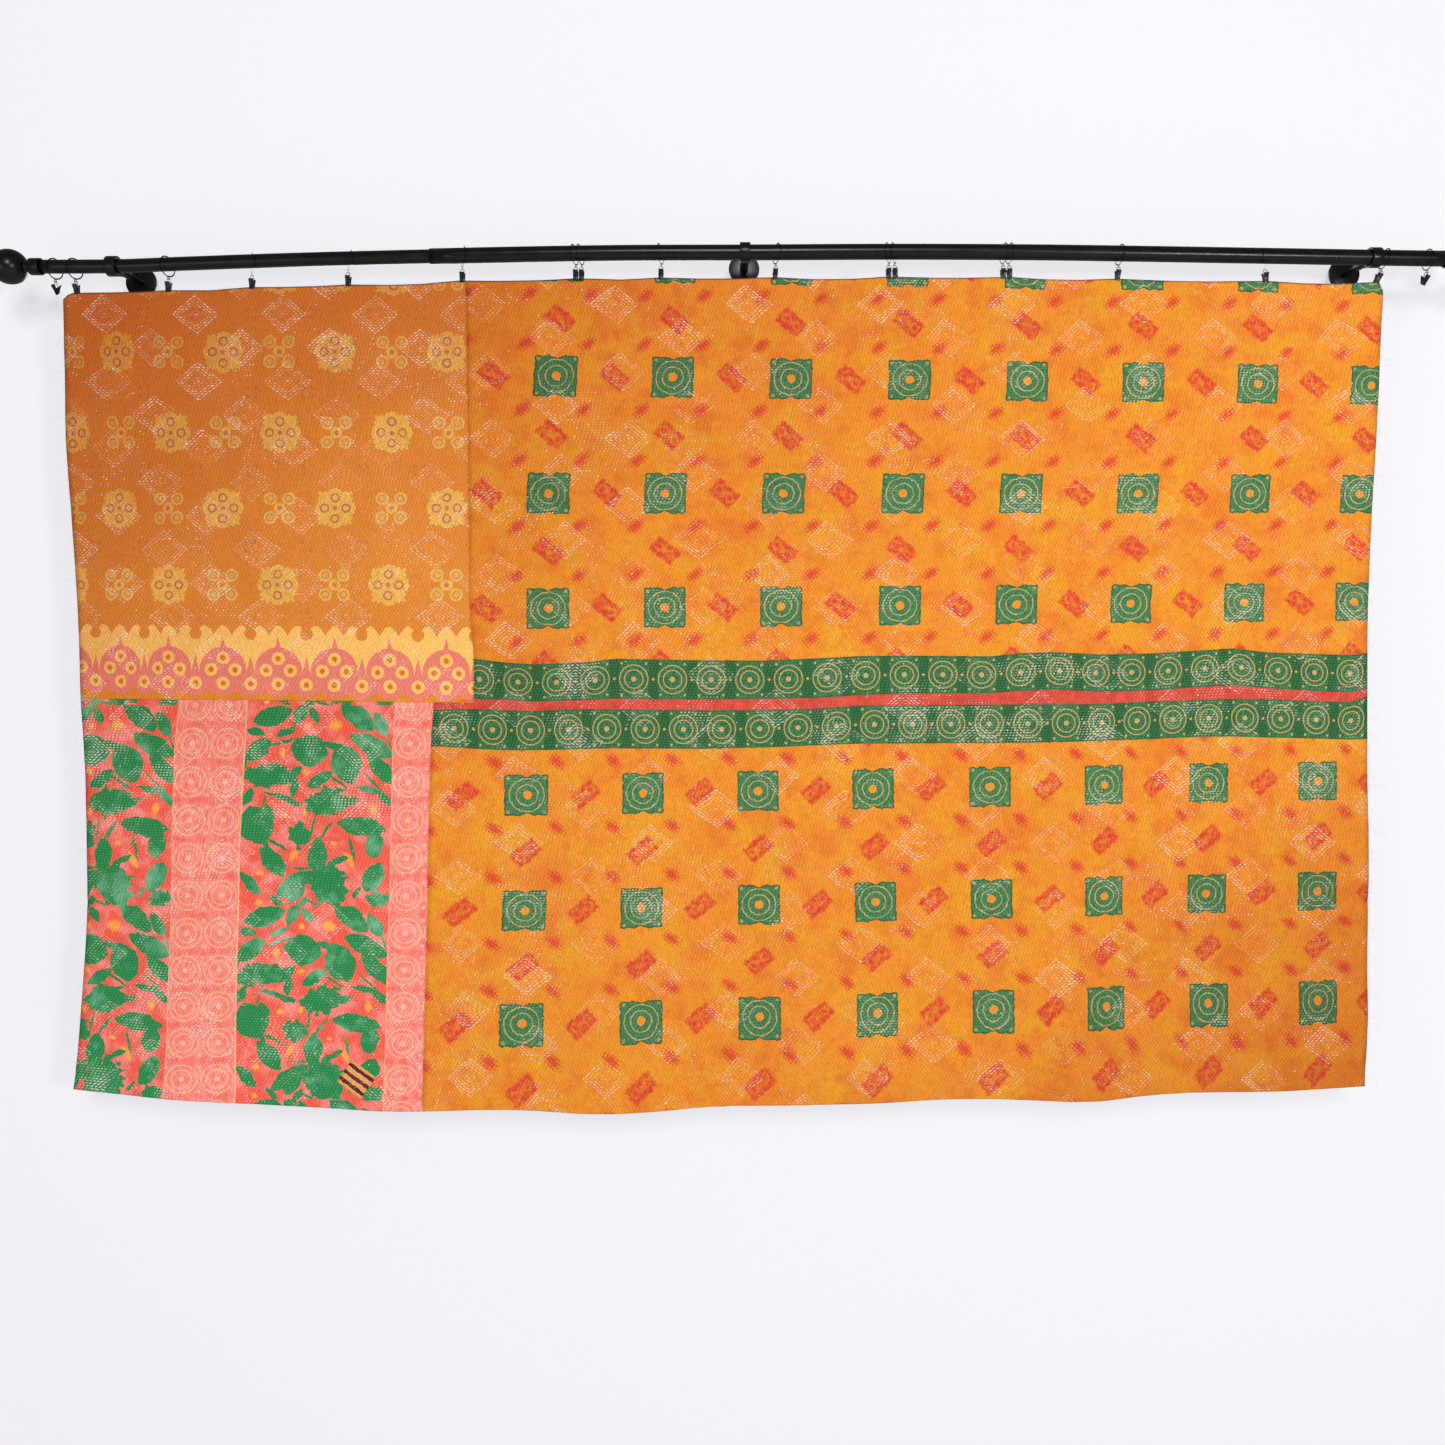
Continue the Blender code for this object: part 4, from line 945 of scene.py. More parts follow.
def sewing_cotton(name, first, second):
    """Cotton sewing thread, matt and faintly mottled."""
    material, put, cloth, shader = start_material(name, 0.8)
    mottle = put("TexNoise", {"Vector": cloth, "Scale": 60.0, "Detail": 1.0})
    link(inked(put, first, (mottle, second)), shader["Base Color"])
    return material


def loose_cotton():
    """Undyed sewing thread."""
    return sewing_cotton("loose_cotton_thread", "cream", "soiled")


def dark_cotton():
    """Dark brown sewing thread."""
    return sewing_cotton("dark_cotton_thread", "bark", "vermilion")


def black_powder_coat():
    """Powder-coated steel tube: satin black with a fine orange-peel grain and dust."""
    material, put, cloth, shader = start_material("black_powder_coat", 0.27, Specular_IOR_Level=0.24)
    grain = put("TexNoise", {"Vector": cloth, "Scale": 900.0, "Detail": 2.0})
    dust = put("TexNoise", {"Vector": cloth, "Scale": 30.0, "Detail": 4.0})
    black = dye("black", "metal")
    dusty = (*(channel * 1.7 for channel in black[:3]), 1.0)
    dusted = put("MapRange", (dust, 0.4, 0.7, 0.0, 1.0))
    link(inked(put, black, (dusted, dusty)), shader["Base Color"])
    link(put("MapRange", (dust, 0.3, 0.7, 0.23, 0.31)), shader["Roughness"])
    link(put("Bump", {"Height": grain, "Distance": 0.05 * MM, "Strength": 0.5}), shader["Normal"])
    return material


def black_lacquer():
    """Lacquered steel wire and clips: darker and glossier than the rod, scuffed in spots."""
    material, put, cloth, shader = start_material("black_lacquered_steel", 0.35, Specular_IOR_Level=0.3)
    scuff = put("TexNoise", {"Vector": cloth, "Scale": 220.0, "Detail": 3.0})
    bare = put("MapRange", (scuff, 0.5, 0.75, 0.0, 1.0))
    lacquer, scuffed = dye("lacquer", "metal"), dye("scuffed", "metal")
    link(inked(put, lacquer, (bare, scuffed)), shader["Base Color"])
    link(put("MapRange", (scuff, 0.3, 0.7, 0.22, 0.42)), shader["Roughness"])
    return material


def bright_wire():
    """Nickel-plated steel wire of the links, bright with fine drawing marks."""
    material, put, cloth, shader = start_material("nickel_plated_wire", 0.25, 1.0)
    mark = put("TexNoise", {"Vector": cloth, "Scale": 700.0, "Detail": 2.0})
    light, dull = dye("wire", "metal"), dye("wire_mark", "metal")
    link(inked(put, light, (mark, dull)), shader["Base Color"])
    return material


# Meshes


def end_mesh(name, work):
    """Ends a bmesh as a mesh."""
    mesh = bpy.data.meshes.new(name)
    work.to_mesh(mesh)
    work.free()
    return mesh


MATERIALS = {}


def add_piece(name, mesh, slot, maker, *nodes):
    """Puts a finished mesh in the scene, in its maker's material, for the CAD nodes it stands for."""
    piece = bpy.data.objects.new(name, mesh)
    bpy.context.scene.collection.objects.link(piece)
    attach(piece, BODY)
    if nodes:
        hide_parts(*nodes)
    material = bpy.data.materials.get(MATERIALS.get(maker, ""))
    if material is None:
        material = maker()
        MATERIALS[maker] = material.name
    mesh.materials.append(material)
    return piece


def read_points(mesh):
    """The places of a mesh's vertices, one row each."""
    places = np.empty(len(mesh.vertices) * 3, dtype=np.float32)
    mesh.vertices.foreach_get("co", places)
    return places.reshape(-1, 3).astype(float)


def lay_points(mesh, x, y, z):
    """Puts a mesh's vertices in new places."""
    mesh.vertices.foreach_set("co", np.column_stack((x, y, z)).astype(np.float32).ravel())
    mesh.update()


def round_edges(work, limit, size, segments):
    """Rounds the edges that turn by more than a limit in degrees."""
    limit = math.radians(limit)
    sharp = [edge for edge in work.edges if edge.is_manifold and edge.calc_face_angle(0) > limit]
    bmesh.ops.bevel(
        work,
        geom=sharp,
        affect="EDGES",
        offset=size,
        segments=segments,
        profile=0.5,
        material=-1,
        clamp_overlap=True,
    )


def quarter_turn(axis, size=3, way=1):
    """A matrix that turns by a right angle about an axis."""
    return Matrix.Rotation(way * math.pi / 2, size, axis)


def smooth(mesh):
    """Shades a mesh smooth except at sharp edges."""
    mesh.shade_smooth()
    mesh.set_sharp_from_angle(angle=SMOOTH_UP_TO)


def set_uv(mesh, name, places):
    """Writes a UV map from one (u, v) for each vertex."""
    corners = np.empty(len(mesh.loops), dtype=np.int32)
    mesh.loops.foreach_get("vertex_index", corners)
    layer = mesh.uv_layers.new(name=name)
    layer.uv.foreach_set("vector", places[corners].astype(np.float32).ravel())


# The cloth's surface, read from the CAD quilt


GRID = 8 * MM
SMOOTHING = 8
CREST_FADE = 60 * MM
EDGE_NORMAL = 0.9
CAD_HALF = 1.6 * MM


def read_quilt():
    """The CAD quilt's four edges, and how far back its middle lies on an even grid."""
    work = bmesh.new()
    work.from_mesh(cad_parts["quilt"].data)
    bmesh.ops.remove_doubles(work, verts=work.verts, dist=MERGE_DISTANCE)
    work.normal_update()
    sides = {"left": set(), "right": set(), "top": set(), "foot": set()}
    for edge in work.edges:
        front, rim = sorted(edge.link_faces, key=lambda face: face.normal.y)[:2]
        if front.normal.y > -0.5 or rim.normal.y < -0.5:
            continue
        out = rim.normal
        upright = "left" if out.x < 0 else "right"
        level = "top" if out.z > 0 else "foot"
        for vert in edge.verts:
            sides[upright if abs(out.x) > EDGE_NORMAL else level].add((vert.co.x, vert.co.z))
    tree = BVHTree.FromBMesh(work)
    low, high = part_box("quilt")
    xs = np.arange(low[0], high[0] + GRID, GRID)
    zs = np.arange(low[2], high[2] + GRID, GRID)
    depth = np.empty((len(zs), len(xs)))
    for j, z in enumerate(zs):
        for i, x in enumerate(xs):
            hit = tree.ray_cast(Vector((x, low[1] - 1.0, z)), Vector((0, 1, 0)))[0]
            depth[j, i] = hit.y if hit else np.nan
    work.free()
    for j in range(len(zs)):
        known = ~np.isnan(depth[j])
        if known.any():
            depth[j] = np.interp(xs, xs[known], depth[j][known])
    for i in range(len(xs)):
        known = ~np.isnan(depth[:, i])
        depth[:, i] = np.interp(zs, zs[known], depth[:, i][known])
    soft = depth.copy()
    for _ in range(SMOOTHING):
        for axis in (0, 1):
            padded = np.pad(soft, [(1, 1) if axis == k else (0, 0) for k in (0, 1)], mode="edge")
            middle = np.moveaxis(padded, axis, 0)
            soft = np.moveaxis((middle[:-2] + 2 * middle[1:-1] + middle[2:]) / 4, 0, axis)
    quilt = {"xs": xs, "zs": zs, "raw": depth + CAD_HALF, "soft": soft + CAD_HALF}
    for side, points in sides.items():
        points = sorted(points if side in ("top", "foot") else ((z, x) for x, z in points))
        quilt[side] = tuple(np.array(values) for values in zip(*points))
    return quilt


quilt = read_quilt()


def edge_line(side, inset=0.0):
    """An edge of the quilt as a function: x from z at the sides, z from x at top and foot."""
    places, values = quilt[side]
    return lambda at: np.interp(at, places, values) + inset


def sample(grid, x, z):
    """The value of a grid at points, between its four nearest cells."""
    xs, zs = quilt["xs"], quilt["zs"]
    i = np.clip((x - xs[0]) / GRID, 0, len(xs) - 1.001)
    j = np.clip((z - zs[0]) / GRID, 0, len(zs) - 1.001)
    i0, j0 = i.astype(int), j.astype(int)
    s, t = i - i0, j - j0
    upper = grid[j0 + 1, i0] * (1 - s) + grid[j0 + 1, i0 + 1] * s
    lower = grid[j0, i0] * (1 - s) + grid[j0, i0 + 1] * s
    return lower * (1 - t) + upper * t


# Puckers that the stitches draw up. Columns: width and height of a pucker in mm,
# how far it stands out in mm.
PUCKERS = ((90, 60, 0.9), (32, 16, 0.45), (14, 7, 0.22))


# Sharp lines of the storage folds, on the CAD quilt's broad ones. Columns in mm:
# place along the rod or height, how far the crease stands back.
UPRIGHT_CREASES = ((-575, 1.1), (-35, -1.3), (500, 1.2), (768, -0.7))
LEVEL_CREASES = ((-395, -0.9), (-1055, 1.5))
CREASE_HALF = 7 * MM


def cloth_depth(x, z, puckers=PUCKERS):
    """How far back the middle of the cloth lies at points of its face."""
    top = edge_line("top")(x)
    freed = np.clip((top - z - 10 * MM) / CREST_FADE, 0.0, 1.0)
    depth = sample(quilt["raw"], x, z) * (1 - freed) + sample(quilt["soft"], x, z) * freed
    for wide, tall, reach in puckers:
        drawn = [noise.noise(Vector((px / (wide * MM), 7.3, pz / (tall * MM)))) for px, pz in zip(x, z)]
        depth = depth + np.array(drawn) * reach * MM * (0.15 + 0.85 * freed)
    for place, centre in ((x, UPRIGHT_CREASES), (z, LEVEL_CREASES)):
        for at, reach in centre:
            off = (place - at * MM) / CREASE_HALF
            depth = depth + reach * MM * np.exp(-(off**2)) * freed
    return depth


# Seams, in mm. Columns: height, place along the rod.
UPPER_SEAM = ((-52, -452), (-239, -449), (-401, -447), (-563, -446), (-663, -439), (-733, -439))
LOWER_SEAM = (
    (-730, -504),
    (-752, -505),
    (-802, -509),
    (-861, -511),
    (-990, -514),
    (-1152, -517),
    (-1235, -519),
    (-1397, -522),
)
# Columns: place along the rod, height.
LEFT_SEAM = ((-1094, -722.5), (-883, -725), (-656, -726.5), (-510, -729), (-436, -730))
# Columns: place along the rod, then heights of the upper band's top, the
# stripe's top, the stripe's foot and the lower band's foot.
BANDS = (
    (-504, -666.5, -731.5, -740.0, -800.0),
    (-439, -657.5, -724.0, -738.5, -804.5),
    (-390, -663.5, -725.0, -741.0, -807.0),
    (-342, -666.5, -728.0, -741.5, -807.0),
    (-256, -663.0, -725.5, -738.5, -804.5),
    (-211, -657.5, -723.0, -739.0, -803.5),
    (-73, -660.0, -725.0, -741.0, -805.0),
    (32, -660.5, -723.5, -740.5, -802.5),
    (122, -656.5, -722.0, -737.5, -798.5),
    (186, -653.0, -717.5, -733.0, -796.0),
    (267, -652.5, -715.0, -732.5, -796.0),
    (397, -653.5, -714.5, -731.5, -795.0),
    (446, -648.5, -710.5, -731.0, -794.5),
    (497, -646.5, -708.0, -730.5, -793.5),
    (575, -650.5, -712.0, -730.5, -791.5),
    (656, -649.0, -710.0, -726.5, -789.0),
    (737, -644.0, -704.5, -724.0, -785.0),
    (791, -640.5, -701.5, -722.0, -784.5),
    (841, -647.0, -706.0, -723.0, -786.0),
    (915, -649.5, -710.5, -725.5, -787.5),
    (980, -651.5, -713.0, -728.0, -790.0),
    (1016, -648.0, -707.0, -717.0, -789.0),
)


def seam(rows, column=1, shift=0.0):
    """A seam as a function of the place in its first column."""
    rows = sorted(rows)
    places = np.array([row[0] for row in rows]) * MM
    values = np.array([row[column] for row in rows]) * MM
    return lambda at: np.interp(at, places, values) + shift


# Where each print repeats. Its numbers count columns and rows of the print. Each
# row gives its number, its height at the first and at the last named place in mm,
# and where the numbered columns stand in mm.
SQUARES_UPPER = {
    "columns": tuple(range(-1, 8)),
    "ends": (-305, 831),
    "rows": (
        (-1, -14.5, -33.0, (-500, -292, -113, 76, 262, 454, 642, 831, 1016)),
        (0, -200.0, -213.0, (-510, -305, -117, 75, 267, 458, 645, 831, 1016)),
        (1, -390.5, -391.0, (-520, -318, -130, 62, 256, 447, 637, 818, 998)),
        (2, -576.5, -567.0, (-520, -318, -130, 58, 251, 439, 624, 808, 988)),
    ),
}
SQUARES_LOWER = {
    "columns": tuple(range(-1, 8)),
    "ends": (-352, 927),
    "rows": (
        (0, -879.0, -856.0, (-565, -352, -165, 21, 207, 397, 582, 750, 927)),
        (-1, -1067.0, -1034.5, (-570, -356, -168, 23, 212, 400, 583, 747, 927)),
        (-2, -1249.0, -1209.5, (-575, -361, -168, 24, 215, 403, 586, 750, 927)),
        (-2.7, -1402.0, -1368.0, (-575, -361, -168, 24, 215, 403, 586, 750, 927)),
    ),
}
MEDALLIONS = {
    "columns": tuple(range(-1, 7)),
    "ends": (-1010, -483),
    "rows": (
        (-1, -36.5, -36.5, (-1090, -1014, -932, -841, -752, -663, -569, -480)),
        (0, -161.0, -161.0, (-1090, -1017, -935, -846, -753, -664, -572, -483)),
        (1, -292.5, -292.5, (-1090, -1009, -930, -841, -752, -661, -572, -480)),
        (2, -414.0, -414.0, (-1090, -1013, -935, -846, -753, -664, -572, -483)),
        (3, -538.5, -538.5, (-1094, -1013, -933, -846, -757, -664, -578, -483)),
        (4.3, -694.0, -705.0, (-1094, -1010, -933, -844, -755, -664, -573, -483)),
    ),
}
LEAFY = {
    "columns": (0, 110, 350, 410),
    "ends": (-900, -520),
    "rows": (
        (-5, -728, -728, (-915, -805, -565, -505)),
        (73, -806, -806, (-923, -810, -570, -509)),
        (235, -968, -968, (-927, -819, -573, -514)),
        (401, -1130, -1130, (-931, -823, -578, -517)),
        (572, -1292, -1292, (-936, -825, -581, -520)),
        (675, -1389, -1389, (-944, -826, -585, -522)),
    ),
}
# Columns: ring number, place along the rod in mm.
UPPER_RINGS = ((0, -430), (15, 508), (23, 980))
LOWER_RINGS = ((0, -471), (16, 519), (24, 982))
OVERRUN = 4


def overrun(places):
    """Even places, run on past both ends at the pitch that they have there."""
    before = places[0] - OVERRUN * (places[1] - places[0])
    after = places[-1] + OVERRUN * (places[-1] - places[-2])
    return np.concatenate(([before], places, [after]))


def repeat_places(x, z, _, table):
    """A print's own column and row numbers at points of the cloth."""
    first, last = (place * MM for place in table["ends"])
    share = (x - first) / (last - first)
    rows = [(number, (a + (b - a) * share) * MM, places) for number, a, b, places in table["rows"]]
    turn = np.zeros_like(x)
    number = np.zeros_like(x)
    for k, (upper, lower) in enumerate(zip(rows, rows[1:])):
        t = (upper[1] - z) / (upper[1] - lower[1])
        here = np.full(x.shape, True) if k == 0 else z < upper[1]
        number = np.where(here, upper[0] + (lower[0] - upper[0]) * t, number)
        turn = np.where(here, k + t, turn)
    turn = np.clip(turn, 0, len(rows) - 1)
    columns = overrun(np.array(table["columns"], dtype=float))
    across = np.zeros_like(x)
    for k, (_, _, places) in enumerate(rows):
        across += np.clip(1 - abs(turn - k), 0, 1) * np.interp(x, overrun(np.array(places) * MM), columns)
    return np.column_stack((across, number))


def ring_places(x, _, share, rings, tall):
    """A ringed band's ring number at points, and how far they lie below its middle line."""
    numbers, places = (np.array(values, dtype=float) for values in zip(*rings))
    pitch = (places[1] - places[0]) / (numbers[1] - numbers[0])
    numbers = np.concatenate(([numbers[0] - OVERRUN], numbers, [numbers[-1] + OVERRUN]))
    places = np.concatenate(([places[0] - OVERRUN * pitch], places, [places[-1] + OVERRUN * pitch]))
    return np.column_stack((np.interp(x, places * MM, numbers), (share - 0.5) * tall))


# Settling a sheet between its edges: a first height, and how often it is corrected.
FIRST_HEIGHT = -0.7
SETTLINGS = 6
ROWS_ABOVE = 40


def sheet_mesh(name, columns, rows, sides, level, ridge, place_print, puckers=PUCKERS, stitch_rows=0.5):
    """A sheet between four edges, its rows of puffed cloth standing out from the folds.

    Each row of its cells is so many rows of stitches high.
    """
    left, right, top, foot = sides
    work = bmesh.new()
    bmesh.ops.create_grid(work, x_segments=columns, y_segments=rows, size=0.5)
    mesh = end_mesh(name, work)
    flat = read_points(mesh)
    across, down = flat[:, 0] + 0.5, 0.5 - flat[:, 1]
    z = np.full(len(flat), FIRST_HEIGHT)
    for _ in range(SETTLINGS):
        x = left(z) + (right(z) - left(z)) * across
        z = top(x) + (foot(x) - top(x)) * down
    row = np.rint(down * rows)
    depth = cloth_depth(x, z, puckers) + level + np.where(row % 2 == 1, -ridge, ridge)
    lay_points(mesh, x, depth, z)
    set_uv(mesh, "Rows", np.column_stack((x, (row / 2 + ROWS_ABOVE) * 2 * stitch_rows)))
    if place_print:
        place, *table = place_print
        set_uv(mesh, "Print", place(x, z, down, *table))
    mesh.shade_smooth()
    return mesh


def solid_sheet(piece, thickness):
    """Gives a sheet its thickness, behind its face."""
    body = piece.modifiers.new("thickness", "SOLIDIFY")
    body.thickness = thickness
    body.offset = -1.0


# How far the patches keep inside the layers' edges, and how far forward they lie.
SIDE_INSET = 0.8 * MM
TOP_INSET = 1.2 * MM
FOOT_INSET = 0.2 * MM
STEP = 0.1 * MM
PATCH_FRONT = 1.35 * MM
LAYERS_FRONT = 0.5 * MM


def patch_table():
    """The patches. Columns: piece, its four edges, how many steps forward it lies, its
    material and where its print stands."""
    lap = settings("sewing").lap
    left, right = edge_line("left", SIDE_INSET), edge_line("right", -SIDE_INSET)
    top, foot = edge_line("top", -TOP_INSET), edge_line("foot", FOOT_INSET)
    upper, under_upper = seam(UPPER_SEAM), seam(UPPER_SEAM, shift=-lap)
    lower, past_lower = seam(LOWER_SEAM), seam(LOWER_SEAM, shift=lap)
    level, over_level = seam(LEFT_SEAM), seam(LEFT_SEAM, shift=lap)
    tops, feet = (seam(BANDS, 1), seam(BANDS, 3)), (seam(BANDS, 2), seam(BANDS, 4))
    over_bands, under_bands = seam(BANDS, 1, -lap), seam(BANDS, 4, lap)
    stripe = (seam(BANDS, 2, lap), seam(BANDS, 3, -lap))
    upper_sides, lower_sides = (under_upper, right), (lower, right)
    upper_squares, lower_squares = (repeat_places, SQUARES_UPPER), (repeat_places, SQUARES_LOWER)
    upper_rings, lower_rings = (ring_places, UPPER_RINGS, 1.05), (ring_places, LOWER_RINGS, 1.02)
    return (
        ("patch_upper_left", (left, upper, top, level), 2, medallion_print, (repeat_places, MEDALLIONS)),
        ("patch_upper_right", (*upper_sides, top, over_bands), 0, square_print, upper_squares),
        ("band_upper", (*upper_sides, tops[0], feet[0]), 1, band_print, upper_rings),
        ("stripe_red", (*lower_sides, *stripe), 0.5, stripe_print, None),
        ("band_lower", (*lower_sides, tops[1], feet[1]), 1, band_print, lower_rings),
        ("patch_lower_left", (left, past_lower, over_level, foot), 0, leaf_print, (repeat_places, LEAFY)),
        ("patch_lower_right", (*lower_sides, under_bands, foot), 0.5, square_print, lower_squares),
    )


class QUILT_OT_body(bpy.types.Operator):
    """Make the quilt's layers with their plain back"""

    bl_idname = "quilt.make_body"
    bl_label = "Layers and back"

    def execute(self, context):
        sewing = settings("sewing")
        low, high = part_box("quilt")
        wide, tall = high[0] - low[0], high[2] - low[2]
        columns, rows = round(wide / GRID), round(tall / GRID)
        sides = [edge_line(side) for side in ("left", "right", "top", "foot")]
        stitch_rows = tall / rows / sewing.row_pitch
        mesh = sheet_mesh("layers", columns, rows, sides, -LAYERS_FRONT, 0.0, None, PUCKERS[:1], stitch_rows)
        solid_sheet(add_piece("quilt_layers", mesh, "quilt_cloth", backing_cotton, "quilt"), sewing.layers)
        return {"FINISHED"}


class QUILT_OT_patches(bpy.types.Operator):
    """Sew the printed patches on the quilt's face"""

    bl_idname = "quilt.make_patches"
    bl_label = "Printed patches"

    def execute(self, context):
        sewing = settings("sewing")
        for name, sides, laps, maker, place_print in patch_table():
            left, right, top, foot = sides
            middle_z = np.array([(top(0.0) + foot(0.0)) / 2])
            wide = float((right(middle_z) - left(middle_z))[0])
            middle_x = (right(middle_z) + left(middle_z)) / 2
            tall = float((top(middle_x) - foot(middle_x))[0])
            columns = max(2, round(wide / sewing.column))
            rows = 2 * max(1, round(tall / sewing.row_pitch))
            level = -PATCH_FRONT - laps * STEP
            mesh = sheet_mesh(name, columns, rows, sides, level, sewing.ridge, place_print)
            solid_sheet(add_piece(name, mesh, "quilt_cloth", maker, "quilt"), sewing.patch)
        return {"FINISHED"}


# The mend. Its middle, half its sides' lengths, its turn and how it lies.
MEND_MIDDLE = (-0.628, -1.337)
MEND_CORNER = 0.03
MEND_LIFT = 0.3 * MM
MEND_CLOTH = 0.4 * MM
MEND_HALF = (24 * MM, 22 * MM)
MEND_TURN = math.radians(-35)
MEND_CELLS = 12
MEND_STRIPES = 3.2


class QUILT_OT_mend(bpy.types.Operator):
    """Sew the small striped mend on the lower left patch"""

    bl_idname = "quilt.make_mend"
    bl_label = "Striped mend"

    def execute(self, context):
        work = bmesh.new()
        bmesh.ops.create_grid(work, x_segments=MEND_CELLS, y_segments=MEND_CELLS, size=0.5)
        bmesh.ops.bevel(
            work,
            geom=[vert for vert in work.verts if len(vert.link_faces) == 1],
            affect="VERTICES",
            offset=MEND_CORNER,
            segments=2,
            profile=0.5,
            material=-1,
        )
        mesh = end_mesh("striped_mend", work)
        flat = read_points(mesh)
        across, up = flat[:, 0] * 2 * MEND_HALF[0], flat[:, 1] * 2 * MEND_HALF[1]
        x = MEND_MIDDLE[0] + across * math.cos(MEND_TURN) - up * math.sin(MEND_TURN)
        z = MEND_MIDDLE[1] + across * math.sin(MEND_TURN) + up * math.cos(MEND_TURN)
        lay_points(mesh, x, cloth_depth(x, z) - PATCH_FRONT - MEND_LIFT, z)
        set_uv(mesh, "Rows", np.column_stack((x, -z / settings("sewing").row_pitch)))
        set_uv(mesh, "Print", np.column_stack((flat[:, 0], flat[:, 1] * MEND_STRIPES)))
        mesh.shade_smooth()
        solid_sheet(add_piece("mend_striped", mesh, "quilt_cloth", mend_cotton, "quilt"), MEND_CLOTH)
        return {"FINISHED"}


# Loose threads. Columns for a side: how many, from and to what height in mm.
EDGE_THREADS = {"left": (34, -60, -1330), "right": (96, -50, -1340)}
THREAD_LENGTH = (16 * MM, 38 * MM)
THREAD_HOLD = 1.5 * MM
THREAD_POINTS = 9
# How far a lying thread stands off the face in mm: at its ends, and what its middle adds.
THREAD_LIFT = (0.4, 1.2)
THREAD_SEED = 5
# Threads that lie on the face. Columns: place along the rod and height in mm, length
# in mm, turn in degrees, bend in degrees.
FACE_THREADS = (
    (-72, -243, 26, 10, 80),
    (-1000, -236, 16, 60, -70),
    (520, -380, 24, -15, 60),
    (286, -340, 22, 35, -70),
    (566, -703, 12, 80, 60),
    (-1085, -1297, 16, 0, 30),
    (820, -255, 20, 25, 40),
    (196, -722, 10, 60, 40),
    (-260, -1120, 18, -60, 50),
    (640, -1180, 18, 20, -60),
)
# The same columns, for dark threads.
DARK_THREADS = (
    (272, -342, 10, -80, -60),
    (268, -351, 13, 200, 50),
    (245, -487, 5, 80, 20),
)


def thread_curve(name, radius):
    """An empty curve whose splines become fine round threads."""
    curve = bpy.data.curves.new(name, "CURVE")
    curve.dimensions = "3D"
    curve.bevel_depth = radius
    curve.bevel_resolution = 1
    curve.use_fill_caps = True
    return curve


def add_spline(curve, points, taper=1.0):
    """Adds a spline through points, thinner towards its end."""
    spline = curve.splines.new("POLY")
    spline.points.add(len(points) - 1)
    for number, (point, place) in enumerate(zip(spline.points, points)):
        point.co = (*place, 1.0)
        point.radius = 1 - (1 - taper) * number / (len(points) - 1)


def curve_mesh(curve):
    """The mesh of a round curve."""
    guide = bpy.data.objects.new(curve.name, curve)
    bpy.context.scene.collection.objects.link(guide)
    view = bpy.context.evaluated_depsgraph_get()
    mesh = bpy.data.meshes.new_from_object(guide.evaluated_get(view))
    bpy.data.objects.remove(guide)
    mesh.shade_smooth()
    return mesh


def hanging_thread(draws, start, outwards):
    """Points of a thread end that leaves the edge and droops."""
    length = draws.uniform(*THREAD_LENGTH)
    step = length / (THREAD_POINTS - 1)
    rise = math.radians(draws.uniform(-50, 40))
    droop = math.radians(draws.uniform(30, 110))
    sway = draws.uniform(-0.5, 0.2)
    points = [start]
    for number in range(1, THREAD_POINTS):
        share = number / (THREAD_POINTS - 1)
        angle = rise - droop * share**1.3
        way = Vector((outwards * math.cos(angle), sway * math.cos(angle), math.sin(angle)))
        points.append(points[-1] + way.normalized() * step)
    return points


def face_depth(x, z):
    """How far back the middle of the cloth lies at one point."""
    return float(cloth_depth(np.array([x]), np.array([z]))[0])


def lying_thread(x, z, length, turn, bend):
    """Points of a thread that lies on the quilt's face."""
    place = Vector((x, z)) * MM
    points = []
    for number in range(THREAD_POINTS):
        share = number / (THREAD_POINTS - 1)
        lift = (THREAD_LIFT[0] + THREAD_LIFT[1] * math.sin(math.pi * share)) * MM
        points.append(Vector((place.x, face_depth(*place) - PATCH_FRONT - lift, place.y)))
        angle = math.radians(turn + bend * share)
        place = place + Vector((math.cos(angle), math.sin(angle))) * length * MM / (THREAD_POINTS - 1)
    return points


class QUILT_OT_threads(bpy.types.Operator):
    """Add the loose thread ends of the side edges and the threads that lie on the face"""

    bl_idname = "quilt.make_threads"
    bl_label = "Loose threads"

    def execute(self, context):
        radius = settings("sewing").thread
        for side, (count, top, foot) in EDGE_THREADS.items():
            draws = random.Random(THREAD_SEED + count)
            curve = thread_curve(f"thread_ends_{side}", radius)
            outwards = -1 if side == "left" else 1
            edge = edge_line(side)
            for number in range(count):
                z = (top + (foot - top) * (number + draws.random()) / count) * MM
                x = float(edge(z))
                start = Vector((x - outwards * THREAD_HOLD, face_depth(x, z) + draws.uniform(-1, 1) * MM, z))
                add_spline(curve, hanging_thread(draws, start, outwards), 0.5)
            name = f"thread_ends_{side}"
            add_piece(f"loose_{name}", curve_mesh(curve), "loose_thread", loose_cotton, name)
        for name, rows, maker in (("face", FACE_THREADS, loose_cotton), ("dark", DARK_THREADS, dark_cotton)):
            curve = thread_curve(f"{name}_threads", radius)
            for row in rows:
                add_spline(curve, lying_thread(*row))
            add_piece(f"loose_threads_{name}", curve_mesh(curve), "loose_thread", maker)
        return {"FINISHED"}


